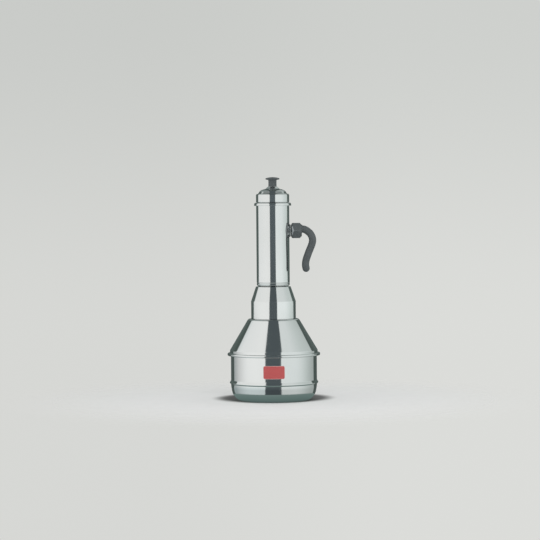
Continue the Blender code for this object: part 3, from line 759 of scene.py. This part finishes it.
def cut(piece, operation, shapes):
    """Applies a Boolean of each bmesh to the piece."""
    cutters = [as_object("cutter", shape) for shape in shapes]
    for cutter in cutters:
        modifier = piece.modifiers.new("cut", "BOOLEAN")
        modifier.operation = operation
        modifier.object = cutter
    evaluated = piece.evaluated_get(bpy.context.evaluated_depsgraph_get())
    mesh = bpy.data.meshes.new_from_object(evaluated)
    piece.modifiers.clear()
    piece.data = mesh
    for cutter in cutters:
        bpy.data.objects.remove(cutter)


def finish(piece, materials, body, slot, *nodes):
    """Shades a piece, gives it its materials, ties it to its body and hides the CAD nodes it replaces. The
    slot is not used.
    """
    for material in materials:
        piece.data.materials.append(material)
    piece.data.shade_smooth()
    piece.data.set_sharp_from_angle(angle=SHARP_ANGLE)
    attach(piece, body)
    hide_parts(*nodes)


def add_piece(name, shape, material, body, slot, node, cutouts=()):
    """A finished piece made from a bmesh, with other ones cut out of it."""
    piece = as_object(name, shape)
    if cutouts:
        cut(piece, "DIFFERENCE", cutouts)
    finish(piece, [material], body, slot, node)


def build_pot(material):
    """Spun pot: flat base, drawn-in foot, rolled bead and the flange inside the seam."""
    bead_low = BEAD_HEIGHT - BEAD_WIDTH / 2
    bead_high = BEAD_HEIGHT + BEAD_WIDTH / 2
    corners = [
        (0, 0, 0),
        (pot_radius - BASE_REACH, 0, BASE_CORNER),
        (pot_radius - KNEE_REACH, KNEE_HEIGHT, KNEE_BEND),
        (pot_radius, BASE_RISE, BASE_BEND),
        (pot_radius, bead_low - BEAD_EASE_LOW, BEAD_BEND),
        (pot_radius + BEAD_DEPTH, bead_low + BEAD_WIDTH / 3 - BEAD_EASE_LOW, BEAD_BEND),
        (pot_radius + BEAD_DEPTH, bead_high - BEAD_WIDTH / 3 - BEAD_EASE_HIGH, BEAD_BEND),
        (pot_radius, bead_high + BEAD_EASE_HIGH, BEAD_BEND),
        (pot_radius, pot_wall_height, FLANGE_BEND),
        (seam_radius - SHOULDER_SHEET - 2 * GAP, pot_wall_height, 0),
    ]
    add_piece("spun_pot", sheet(corners, POT_SHEET), material, "pot", "polished_aluminium", "pot_body")


def build_shoulder(material):
    """Neck, ledge, cone and foot, with the seam folded round the pot's flange."""
    corners = [
        (neck_radius - NECK_LIP, seam_high.z, 0),
        (neck_radius, seam_high.z, NECK_BEND),
        (neck_radius, ledge_height, NECK_FOOT_BEND),
        (collar_radius + LEDGE_WIDTH, ledge_height, LEDGE_BEND),
        (pot_radius + FOOT_REACH, seam_top + FOOT_HEIGHT, SEAM_BEND),
        (pot_radius + FOOT_REACH, seam_top, FOOT_BEND),
        (seam_radius, seam_top, SEAM_BEND),
        (seam_radius, seam_bottom, SEAM_BEND),
        (pot_radius + 2 * GAP, seam_bottom, 0),
    ]
    shape = sheet(corners, -SHOULDER_SHEET)
    add_piece("cone_shoulder", shape, material, "pot", "polished_aluminium", "pot_shoulder")


def build_collar(material):
    """Straight skirt, taper and the throat folded over the tube's lip."""
    fold_height = collar_high.z - COLLAR_SHEET
    corners = [
        (collar_radius, collar_low.z, 0),
        (collar_radius, collar_low.z + COLLAR_STRAIGHT, COLLAR_BEND),
        (tube_radius + COLLAR_OVERHANG, collar_top, COLLAR_TOP_BEND),
        (clinch_radius, collar_top, CLINCH_BEND),
        (clinch_radius, fold_height, 0),
        (clinch_radius + CLINCH_FOLD, fold_height, 0),
    ]
    shape = sheet(corners, COLLAR_SHEET)
    add_piece("tapered_collar", shape, material, "tube", "polished_aluminium", "tube_collar")


def rivet_places(distance):
    """Where the four rivets are, as matrices that point outwards at a distance."""
    places = []
    for side in (-1, 1):
        for height in (handle_height - RIVET_SPREAD / 2, handle_height + RIVET_SPREAD / 2):
            places.append(out_along_x(distance, height, side * rivet_angle))
    return places


def rivet_drills():
    """The shapes that cut the rivet holes."""
    reach = 2 * (bracket_radius - bore_radius)
    return [moved(drill(RIVET_RADIUS + GAP, -reach, reach), place) for place in rivet_places(bracket_radius)]


def build_tube(material):
    """Drawn tube with a turned-in lip, a crease above its bottom corner and a rolled rim."""
    crease = tube_low.z + CREASE_HEIGHT
    mouth = tube_high.z - TUBE_SHEET
    rim_low = tube_high.z - RIM_HEIGHT + TUBE_SHEET
    rim_radius = tube_radius + RIM_REACH
    corners = [
        (clinch_radius + GAP, tube_low.z, 0),
        (tube_radius, tube_low.z, TUBE_CORNER),
        (tube_radius, crease - CREASE_WIDTH / 2, CREASE_BEND),
        (tube_radius - CREASE_DEPTH, crease, CREASE_BEND),
        (tube_radius, crease + CREASE_WIDTH / 2, CREASE_BEND),
        (tube_radius, handle_height - RIVET_SPREAD, 0),  # the rivet holes lie between these two
        (tube_radius, handle_height + RIVET_SPREAD, 0),
        (tube_radius, mouth, RIM_MOUTH_BEND - TUBE_SHEET),
        (rim_radius - TUBE_SHEET, mouth, RIM_BEND - TUBE_SHEET),
        (rim_radius - TUBE_SHEET, rim_low, RIM_FOOT_BEND - TUBE_SHEET),
        (rim_radius - RIM_TUCK, rim_low, 0),
    ]
    shape = sheet(corners, TUBE_SHEET)
    add_piece("tube_shell", shape, material, "tube", "polished_aluminium", "steamer_tube", rivet_drills())


def build_disc(material):
    """Punched disc whose holes and rim have softened edges."""
    low, high = disc_low.z, disc_high.z
    rounds = [((0, 0), disc_high.x, -HOLE_EDGE, ROUND), ((0, 0), HOLE_RADIUS, HOLE_EDGE, HOLE_STEPS)]
    for ring in range(1, HOLE_RINGS + 1):
        for spot in circle(HOLE_PITCH * ring, HOLES_IN_FIRST_RING * ring, low):
            rounds.append((spot[:2], HOLE_RADIUS, HOLE_EDGE, HOLE_STEPS))
    shape = bmesh.new()
    ends = ([], [])
    for middle, radius, flare, steps in rounds:
        levels = [(radius + flare, low), (radius, low + HOLE_EDGE)]
        levels += [(radius, high - HOLE_EDGE), (radius + flare, high)]
        loops = [[shape.verts.new(point) for point in circle(r, steps, z, middle)] for r, z in levels]
        for a, b in zip(loops, loops[1:]):
            for k in range(steps):
                n = (k + 1) % steps
                shape.faces.new((a[k], a[n], b[n], b[k]))
        for end, loop in zip(ends, (loops[0], loops[-1])):
            end += [shape.edges.get(pair) for pair in zip(loop, loop[1:] + loop[:1])]
    for end in ends:
        bmesh.ops.triangle_fill(shape, edges=end, use_beauty=True)
    add_piece("punched_disc", shape, material, "disc", "mill_aluminium", "perforated_disc")


def build_lid(material):
    """Pressed lid: spigot, ledge, skirt, dome, vents and the boss under the knob."""
    skirt_top = lid_seat + LID_SKIRT
    dome_radius = lid_radius - DOME_INSET
    boss_top = lid_high.z
    corners = [
        (KNOB_SCREW_RADIUS + GAP, boss_top, 0),
        (STEM_RADIUS + BOSS_EDGE, boss_top, BOSS_EDGE),
        (STEM_RADIUS + BOSS_FOOT, boss_top - BOSS_RISE, BOSS_BEND),
        (dome_radius - DOME_LEAN, skirt_top + DOME_WALL, DOME_BEND),
        (dome_radius, skirt_top, DOME_FOOT_BEND),
        (lid_radius, skirt_top, LID_SHOULDER_BEND),
        (lid_radius, lid_seat, LID_EDGE_BEND),
        (spigot_radius, lid_seat, SPIGOT_BEND),
        (spigot_radius, lid_low.z, 0),
    ]
    vents = []
    for k in range(VENT_COUNT):
        turn = Matrix.Rotation(math.tau * (k + 0.5) / VENT_COUNT, 4, "Z")
        vent = drill(VENT_RADIUS, skirt_top, knob_high.z)
        vents.append(moved(vent, turn @ Matrix.Translation((VENT_CIRCLE, 0, 0))))
    shape = sheet(corners, -LID_SHEET)
    add_piece("lid_shell", shape, material, "lid", "polished_aluminium", "lid_cap", vents)


def build_knob(material):
    """Moulded knob: waisted stem, thin cap with a soft edge, and the pocket for its insert."""
    seat = knob_low.z
    stem_height = knob_high.z - seat - KNOB_FLARE - KNOB_EDGE - KNOB_CROWN
    pocket = KNOB_INSERT_RADIUS + GAP
    pocket_top = seat + KNOB_INSERT_LENGTH + GAP
    edge_low = seat + stem_height + KNOB_FLARE
    edge_high = edge_low + KNOB_EDGE
    corners = [(0, pocket_top, 0), (pocket, pocket_top, 0), (pocket, seat, 0)]
    corners.append((STEM_RADIUS, seat, STEM_FOOT_BEND))
    for k in range(1, STEM_STEPS):
        share = k / STEM_STEPS
        waist = STEM_WAIST * math.sin(math.pi * share)
        corners.append((STEM_RADIUS - waist, seat + stem_height * share, 0))
    corners += [
        (STEM_RADIUS, seat + stem_height, STEM_TOP_BEND),
        (knob_high.x, edge_low, KNOB_EDGE_BEND),
        (knob_high.x, edge_high, KNOB_EDGE_BEND),
    ]
    for k in range(1, KNOB_CROWN_STEPS + 1):
        share = 1 - k / KNOB_CROWN_STEPS
        corners.append((knob_high.x * share, edge_high + KNOB_CROWN * (1 - share**2), 0))
    shape = turned(rounded(corners), steps=SMALL_ROUND)
    add_piece("moulded_knob", shape, material, "lid", "bakelite", "lid_knob")


def washer_shape(inner, outer, low, high, edge):
    """A washer about Z with softened edges."""
    corners = [(inner, low, edge), (outer, low, edge), (outer, high, edge), (inner, high, edge)]
    return turned(rounded(corners, True), True, SMALL_ROUND)


def build_knob_washer(material):
    """The washer under the lid."""
    low, high = knob_washer_low.z, knob_washer_high.z
    shape = washer_shape(KNOB_SCREW_RADIUS + GAP, knob_washer_high.x, low, high, KNOB_WASHER_EDGE)
    add_piece("knob_ring", shape, material, "lid", "plated_steel", "knob_washer")


def build_knob_screw(material):
    """The cross-head screw under the lid."""
    seat = knob_washer_low.z - GAP
    head = screw_high.x
    corners = [
        (0, screw_low.z, 0),
        (head, screw_low.z, 2 * SCREW_HEAD_BEND),
        (head, seat, SCREW_RIM_BEND),
        (KNOB_SCREW_RADIUS, seat, SCREW_NECK_BEND),
        (KNOB_SCREW_RADIUS, screw_high.z, SCREW_TIP_BEND),
        (0, screw_high.z, 0),
    ]
    bars = []
    for turn in (0.0, math.pi / 2):
        bar = bmesh.new()
        bmesh.ops.create_cube(bar, size=1.0)
        size = Matrix.Diagonal((RECESS_LENGTH, RECESS_WIDTH, 2 * RECESS_DEPTH, 1.0))
        place = Matrix.Translation((0, 0, screw_low.z)) @ Matrix.Rotation(turn, 4, "Z") @ size
        bars.append(moved(bar, place))
    shape = turned(rounded(corners), steps=SMALL_ROUND)
    add_piece("cross_head_screw", shape, material, "lid", "plated_steel", "knob_screw", bars)


def rounded_edge(angle, half_width, half_height, corner):
    """Distance from the middle of a rounded rectangle to its edge."""
    way = Vector((abs(math.cos(angle)), abs(math.sin(angle))))
    reach = min(half_width / max(way.x, WELD), half_height / max(way.y, WELD))
    middle = Vector((half_width - corner, half_height - corner))
    if way.x * reach > middle.x and way.y * reach > middle.y:
        along = way.dot(middle)
        reach = along + math.sqrt(corner**2 - middle.length_squared + along**2)
    return reach


def saddle_ring(radii, bend, lift):
    """A ring round the handle's axis, lifted off the cylinder of radius bend, or off the axis if it is 0."""
    ring = []
    for turn, radius in zip(full_turn(BRACKET_ROUND), radii):
        y, z = radius * math.cos(turn), radius * math.sin(turn)
        ring.append((lift + (math.sqrt(bend**2 - y**2) if bend else 0), y, handle_height + z))
    return ring


def build_bracket(material):
    """Saddle with rounded ears and a raised cup, one pressed sheet."""
    outside, inside = bracket_radius, tube_radius + GAP
    half_size = bracket_high.y, (bracket_high.z - bracket_low.z) / 2
    edge = [rounded_edge(turn, *half_size, BRACKET_CORNER) for turn in full_turn(BRACKET_ROUND)]
    trimmed = [reach - EAR_EDGE for reach in edge]
    foot = CUP_RADIUS + CUP_FOOT

    def even(radius):
        return [radius] * BRACKET_ROUND

    def between(share):
        return [foot + (reach - foot) * share for reach in edge]

    hole, hollow = even(STUD_RADIUS + GAP), even(CUP_RADIUS - BRACKET_SHEET)
    rings = [(hole, 0, cup_face), (even(CUP_RADIUS - CUP_EDGE - SUPPORT), 0, cup_face)]
    for turn in quarter_turn(CUP_EDGE_STEPS):
        radius = CUP_RADIUS - CUP_EDGE * (1 - math.sin(turn))
        rings.append((even(radius), 0, cup_face - CUP_EDGE * (1 - math.cos(turn))))
    for turn in quarter_turn(CUP_FOOT_STEPS):
        radius = CUP_RADIUS + CUP_FOOT * (1 - math.cos(turn))
        rings.append((even(radius), outside, CUP_FOOT * (1 - math.sin(turn))))
    rings += [(between(share), outside, 0) for share in EAR_SHARES_OUTSIDE]
    rings += [(trimmed, outside, 0), (edge, outside, -EAR_EDGE)]
    rings += [(edge, inside, EAR_EDGE), (trimmed, inside, 0)]
    rings += [(between(share), inside, 0) for share in EAR_SHARES_INSIDE]
    rings += [(hollow, inside, 0), (hollow, 0, cup_face - BRACKET_SHEET), (hole, 0, cup_face - BRACKET_SHEET)]
    shape = ringed([saddle_ring(*ring) for ring in rings], closed=True)
    drills = rivet_drills()
    add_piece("saddle_bracket", shape, material, "tube", "polished_aluminium", "handle_bracket", drills)


def build_rivets(material):
    """Domed rivets whose shanks end flush with the tube's bore."""
    seat = bracket_radius + GAP
    length = seat - bore_radius
    line = [(0, -length), (RIVET_RADIUS, -length), (RIVET_RADIUS, 0), (RIVET_HEAD - RIVET_EDGE / 2, 0)]
    for turn in quarter_turn(RIVET_STEPS)[:-1]:
        rise = (RIVET_HEAD_HEIGHT - RIVET_EDGE) * math.sin(turn)
        line.append((RIVET_HEAD * math.cos(turn), RIVET_EDGE + rise))
    line.append((0, RIVET_HEAD_HEIGHT))
    for number, place in enumerate(rivet_places(seat), start=1):
        shape = moved(turned(line, steps=PIN_ROUND), place)
        node = f"bracket_rivet_{number}"
        add_piece(f"domed_rivet_{number}", shape, material, "tube", "polished_aluminium", node)


def build_washer(material):
    """The washer between the bracket's cup and the handle."""
    thickness = washer_high.x - washer_low.x
    ring = washer_shape(STUD_RADIUS + GAP, washer_high.y, 0, thickness, WASHER_EDGE)
    shape = moved(ring, out_along_x(washer_low.x, handle_height))
    add_piece("handle_ring", shape, material, "tube", "plated_steel", "handle_washer")


def chamfer_stations(chamfer):
    """(depth, radius) along the turned chamfer at one end of the boss."""
    apothem = HANDLE_BOSS_FLATS / 2
    foot = apothem - chamfer
    corner_rise = apothem / math.cos(math.pi / 6) - apothem
    depths = [chamfer + corner_rise * k / CHAMFER_STEPS for k in range(CHAMFER_STEPS + 1)]
    bends = [(0, foot - FACE_BEND), (FACE_BEND / 3, foot), (FACE_BEND, foot + FACE_BEND)]
    return bends + [(depth, foot + depth) for depth in depths]


def boss_rings():
    """Rings of the hexagonal boss, whose turned chamfers scallop its ends."""
    apothem = HANDLE_BOSS_FLATS / 2
    stations = chamfer_stations(NEAR_CHAMFER)
    stations.insert(1, (0, apothem - NEAR_CHAMFER - FACE_BEND / 2))
    far = chamfer_stations(FAR_CHAMFER)[::-1]
    stations += [(HANDLE_BOSS_LENGTH - depth, cone) for depth, cone in far]
    rings = []
    for along, cone in stations:
        ring = []
        for turn in full_turn(HANDLE_BOSS_STEPS):
            from_flat = (turn + math.pi / 6) % (math.pi / 3) - math.pi / 6
            radius = min(cone, apothem / math.cos(from_flat))
            ring.append((radius * math.cos(turn), radius * math.sin(turn), along))
        rings.append(ring)
    return rings


def smooth_line(points, steps):
    """A smooth line through the points, as short straight pieces."""
    ends = [points[0] * 2 - points[1], *points, points[-1] * 2 - points[-2]]
    line = []
    for before, start, end, after in zip(ends, ends[1:], ends[2:], ends[3:]):
        handle_a = start + (end - before) / 6
        handle_b = end - (after - start) / 6
        line += interpolate_bezier(start, handle_a, handle_b, end, steps + 1)[:-1]
    return line + [points[-1]]


def arm_flare(out):
    """How far the arm widens near the boss's far face, as a quarter round."""
    if out >= ARM_FLARE:
        return 0.0
    reach = ARM_FLARE - max(out, 0)
    return ARM_FLARE - math.sqrt(ARM_FLARE**2 - reach**2)


def arm_turns():
    """Angles round the arm's section, with close ones beside the mould's parting line."""
    turns = full_turn(ARM_STEPS)
    for middle in PARTING_TURNS:
        turns += [middle - PARTING_SPREAD, middle + PARTING_SPREAD]
    return sorted(turn for turn in turns if -WELD < turn < math.tau - WELD)


def arm_stations():
    """(point, direction, size) of each section of the hook, closer at its fillet and at its round tip."""
    line = smooth_line([Vector((out, 0, up)) for out, up in ARM_ROUTE], ARM_STEPS_PER_SPAN)
    ways = [(b - a).normalized() for a, b in zip(line, line[1:])]
    ways = [ways[0]] + [(a + b).normalized() for a, b in zip(ways, ways[1:])] + [ways[-1]]
    stations = [(point, way, 1.0) for point, way in zip(line, ways)]
    root = next(i for i, point in enumerate(line) if point.x > ARM_FLARE)
    flare = []
    for turn in quarter_turn(FLARE_STEPS):
        share = (ARM_FLARE * (1 - math.cos(turn)) - line[0].x) / (line[root].x - line[0].x)
        flare.append((line[0].lerp(line[root], share), ways[root], 1.0))
    tip = []
    for turn in quarter_turn(TIP_STEPS)[1:-1]:
        tip.append((line[-1] + ways[-1] * math.sin(turn) * ARM_WIDTH / 2, ways[-1], math.cos(turn)))
    return stations[:1] + flare + stations[root + 1 :] + tip


def arm_rings():
    """Oval rings along the hook, with a fine parting ridge."""
    turns = arm_turns()
    rings = []
    for point, way, size in arm_stations():
        side = way.cross(Vector((0, 1, 0)))
        wide = arm_flare(point.x)
        ring = []
        for turn in turns:
            on_ridge = min(abs(turn - middle) for middle in PARTING_TURNS) < PARTING_SPREAD / 2
            ridge = PARTING_HEIGHT * size if on_ridge else 0
            across = side * math.cos(turn) * (ARM_WIDTH / 2 * size + wide + ridge)
            ring.append(point + across + Vector((0, math.sin(turn) * (ARM_DEPTH / 2 * size + wide), 0)))
        rings.append(ring)
    return rings


def build_handle(material):
    """Moulded handle: hexagonal boss, hook and the pocket for the threaded insert."""
    outwards = out_along_x(handle_face, handle_height)
    grip = as_object("hook_handle", moved(ringed(boss_rings(), cap=True), outwards))
    arm = moved(ringed(arm_rings(), cap=True), Matrix.Translation((far_face, 0, handle_height)))
    depth = HANDLE_INSERT_LENGTH + GAP
    pocket = drill(HANDLE_INSERT_RADIUS + GAP, -depth, depth, SMALL_ROUND)
    cut(grip, "UNION", [arm])
    cut(grip, "DIFFERENCE", [moved(pocket, outwards)])
    finish(grip, [material], "tube", "bakelite", "handle_grip")


def build_label(red, pale):
    """Thin film on the pot's wall: a red field inside a narrow pale border."""
    half_width = label_high.x
    half_height = (label_high.z - label_low.z) / 2
    middle = (label_high.z + label_low.z) / 2
    inside = pot_radius + GAP
    outside = inside + LABEL_SHEET
    soft = LABEL_SHEET / 4

    def film_ring(inset, share, distance):
        ring = []
        for turn in full_turn(LABEL_ROUND):
            reach = share * rounded_edge(turn, half_width - inset, half_height - inset, LABEL_CORNER - inset)
            x, z = reach * math.cos(turn), reach * math.sin(turn)
            ring.append((x, -math.sqrt(distance**2 - x**2), middle + z))
        return ring

    shares = [k / LABEL_RINGS for k in range(1, LABEL_RINGS)]
    rings = [film_ring(0, share, inside) for share in (*shares, 1)]
    rings += [film_ring(0, 1, outside - soft), film_ring(soft, 1, outside)]
    rings.append(film_ring(LABEL_MARGIN, 1, outside))
    first_red = (len(rings) - 1) * LABEL_ROUND
    rings += [film_ring(LABEL_MARGIN, share, outside) for share in shares[::-1]]
    shape = ringed(rings, cap=True)
    for index, face in enumerate(shape.faces):
        face.material_index = 0 if index >= first_red else 1
    label = as_object("film_label", shape)
    finish(label, [red, pale], "pot", "red_film", "front_label")


def set_material(node, material):
    """Gives a kept CAD piece its material."""
    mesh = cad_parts[node].data
    mesh.materials.clear()
    mesh.materials.append(material)


def build_camera():
    """The photograph's view: nearly level, with the steamer leaning a little to the left."""
    data = bpy.data.cameras.new("camera")
    data.lens = CAMERA_LENS
    camera = in_scene("camera", data)
    pitch = Matrix.Rotation(math.radians(90 - CAMERA_DIP), 4, "X")
    roll = Matrix.Rotation(math.radians(CAMERA_ROLL), 4, "Z")
    camera.matrix_world = Matrix.Translation(CAMERA_PLACE) @ pitch @ roll
    bpy.context.scene.camera = camera


def zone_masks(graph, z, swing):
    """Where each zone of the studio is."""
    zones = {name: graph.ease(z, *heights) for name, heights in ZONES.items()}
    zones["arm"] = graph.times(graph.ease(z, *ARM_ZONE_START), graph.ease(z, *ARM_ZONE_END, 1.0, 0.0))
    zones["side"] = graph.times(graph.ease(swing, *SIDE_TURNS), zones["pot"])
    return zones


def mirrored_studio(graph, x, y, z):
    """What the metal mirrors: two bright bands between dark slots, a crown behind and the ground."""
    swing = graph.calc("ABSOLUTE", graph.calc("ARCTAN2", x, graph.times(y, -1.0)))
    turn = graph.calc("DIVIDE", swing, math.pi)
    overhead = graph.total(z, (y, ALOFT_LEAN))
    zones = zone_masks(graph, z, swing)

    def zoned(base, **amounts):
        """The base, changed by an amount in each named zone."""
        return graph.total(base, *((zones[name], amount) for name, amount in amounts.items()))

    def band(across, slot, slope, back, share_aloft):
        """Where a bright band is: from the slot in front to its edge behind, and less of it aloft."""
        edge = graph.calc("SUBTRACT", slot, graph.times(graph.calc("MAXIMUM", z, 0.0), slope))
        past_slot = graph.ease(graph.calc("SUBTRACT", across, edge), -SLOT_SOFTNESS, SLOT_SOFTNESS)
        in_front = graph.ease(graph.calc("SUBTRACT", swing, back), -BACK_SOFTNESS, BACK_SOFTNESS, 1.0, 0.0)
        return graph.times(past_slot, in_front, graph.ease(overhead, *ALOFT, 1.0, share_aloft))

    left_back = zoned(2.086, collar=0.044, pot=0.209, high=0.131, foot=0.13, drawn_in=0.07)
    right_back = zoned(2.117, collar=0.047, pot=0.157, high=0.169, foot=0.10, drawn_in=0.30, arm=-0.13)
    left = band(graph.times(x, -1.0), zoned(0.352, pot=0.041), LEFT_SLOT_SLOPE, left_back, LEFT_ALOFT)
    right = band(x, zoned(0.312, collar=0.013), RIGHT_SLOT_SLOPE, right_back, RIGHT_ALOFT)
    dark = graph.shaded(graph.ramp(turn, DARK_TONES), zoned(1.0, collar=-0.17, pot=-0.02, high=-0.20))
    low_slot = graph.times(graph.ease(z, *LOW_SLOT), graph.ease(swing, *LOW_SLOT_TURNS, 1.0, 0.0))
    dark = graph.blend(low_slot, dark, LOW_SLOT_TONE)
    left_share = zoned(1.0, side=-0.43, collar=0.06, pot=-0.02)
    left_tone = graph.shaded(graph.ramp(turn, LEFT_TONES), left_share)
    left_tone = graph.blend(zones["foot"], left_tone, LEFT_UNDER_TONE, "MULTIPLY")
    right_share = zoned(1.0, side=-0.24, collar=0.10, pot=-0.16, high=-0.12)
    right_tone = graph.shaded(graph.ramp(turn, RIGHT_TONES), right_share)
    studio = graph.blend(right, graph.blend(left, dark, left_tone), right_tone)
    studio = graph.shaded(studio, graph.ease(z, *DIMMED, 1.0, DIMMED_SHARE))
    aft = graph.ease(graph.total(swing, (z, CROWN_LEAN)), *CROWN_TURNS)
    crown = graph.times(aft, graph.ease(graph.calc("ABSOLUTE", x), *CROWN_SIDES))
    crown_tone = graph.blend(graph.ease(x, *CROWN_MIDDLE), LEFT_CROWN_TONE, RIGHT_CROWN_TONE)
    studio = graph.blend(crown, studio, crown_tone)
    underfoot = graph.ramp(graph.times(z, -1.0), UNDER_TONES)
    return graph.blend(graph.ease(z, *UNDERFOOT), studio, underfoot)


def build_world():
    """The studio that reflections see, a soft light for the rest and a pale backdrop."""
    world = bpy.data.worlds.new("studio")
    world.use_nodes = True
    bpy.context.scene.world = world
    graph = Graph(world.node_tree)
    x, y, z = graph.split(graph.add("TexCoord").outputs["Generated"])
    scenery = graph.blend(graph.ease(z, *HORIZON), UPPER_BACKDROP, LOWER_BACKDROP)
    scenery = graph.shaded(scenery, graph.ease(x, *BACKDROP_SIDES))
    soft = graph.add("Background", Color=SOFT_LIGHT, Strength=graph.ease(z, *SOFT_STRENGTH))
    bands = graph.add("Background", Color=mirrored_studio(graph, x, y, z), Strength=1.0)
    backdrop = graph.add("Background", Color=scenery, Strength=1.0)
    path = graph.add("LightPath")
    lit = graph.mix_shader(path.outputs["Is Glossy Ray"], soft.outputs[0], bands.outputs[0])
    seen = graph.mix_shader(path.outputs["Is Camera Ray"], lit, backdrop.outputs[0])
    graph.add("OutputWorld", Surface=seen)


def build_lamp():
    """One soft lamp above, in front and a little to the right."""
    data = bpy.data.lights.new("overhead", "AREA")
    data.shape = "DISK"
    data.size = LAMP_SIZE
    data.energy = LAMP_ENERGY
    lamp = in_scene("overhead", data)
    aim = (Vector(LAMP_AIM) - Vector(LAMP_PLACE)).to_track_quat("-Z", "Y")
    lamp.matrix_world = Matrix.Translation(LAMP_PLACE) @ aim.to_matrix().to_4x4()
    lamp.visible_glossy = False


def floor_material():
    """Pale with a painted shadow where it is seen. The metal mirrors only a dark glow close to it, a painted
    shadow for reflections.
    """
    material, graph, place = new_material("pale_floor")
    radius = graph.distance(place, (0.0, 0.0, 0.0))
    tint = graph.blend(graph.ease(graph.noise(place, 40.0, 3.0), 0.3, 0.7), *FLOOR_TONES)
    # Painted shadow, darkest round a point behind the steamer
    shadow = graph.ease(graph.distance(place, SHADOW_CENTRE), *SHADOW_EDGE, SHADOW_SHARE, 1.0)
    pale = graph.add("BsdfDiffuse", Color=graph.shaded(tint, shadow)).outputs[0]
    # Painted shadow for reflections: a dark glow that only glossy rays see near the foot
    mirrored_shadow_tone = graph.ramp(graph.calc("DIVIDE", radius, MIRRORED_SHADOW_RADIUS), MIRRORED_SHADOW_TONES)
    mirrored_shadow_glow = graph.add("Emission", Color=mirrored_shadow_tone).outputs[0]
    clear = graph.add("BsdfTransparent").outputs[0]
    direct = graph.mix_shader(graph.ease(radius, *FLOOR_FADE), pale, clear)
    edge = graph.ease(radius, MIRRORED_SHADOW_RADIUS - MIRRORED_SHADOW_SOFTNESS, MIRRORED_SHADOW_RADIUS + MIRRORED_SHADOW_SOFTNESS)
    mirrored = graph.mix_shader(edge, mirrored_shadow_glow, clear)
    glossy = graph.add("LightPath").outputs["Is Glossy Ray"]
    graph.add("OutputMaterial", Surface=graph.mix_shader(glossy, direct, mirrored))
    return material


def build_floor():
    """A pale floor that fades out around the steamer."""
    floor = as_object("floor", turned([(radius, 0) for radius in FLOOR_RADII]))
    floor.location.z = -GAP / 3
    floor.data.materials.append(floor_material())


def main():
    """The materials, the pieces, and the stage round them."""
    bright = {"rough_range": (0.055, 0.085), "turning": (1400.0, 0.0000008), "wave_depth": 0.00006}
    rolled = {"rough_range": (0.24, 0.34), "turning": (1100.0, 0.000004), "wave_depth": 0.00003}
    dull = {"rough_range": (0.16, 0.24), "turning": (900.0, 0.0000008), "wave_depth": 0.00002}
    polished = aluminium("polished_aluminium", POLISHED, **bright)
    satin = aluminium("mill_aluminium", MILLED, **rolled)
    pressed = aluminium("pressed_aluminium", PRESSED, **dull, proud=bracket_radius)
    steel = plain_metal("zinc_plate", ZINC, rough=0.26)
    brass = plain_metal("turned_brass", BRASS, rough=0.30)
    red = film("red_print", PRINT_RED, print_shift=0.12)
    pale = film("pale_border", BORDER_PALE, print_shift=0.05)
    build_pot(polished)
    build_shoulder(polished)
    build_label(red, pale)
    build_collar(polished)
    build_tube(polished)
    build_bracket(pressed)
    build_rivets(pressed)
    build_washer(steel)
    build_handle(bakelite("handle_bakelite", painted_scallop_glint=True))
    build_disc(satin)
    build_lid(polished)
    build_knob(bakelite("black_bakelite", painted_scallop_glint=False))
    build_knob_washer(steel)
    build_knob_screw(steel)
    set_material("handle_stud", steel)
    set_material("handle_insert", brass)
    set_material("knob_insert", brass)
    build_camera()
    build_world()
    build_lamp()
    build_floor()
    bpy.context.scene.view_settings.view_transform = "Standard"


main()
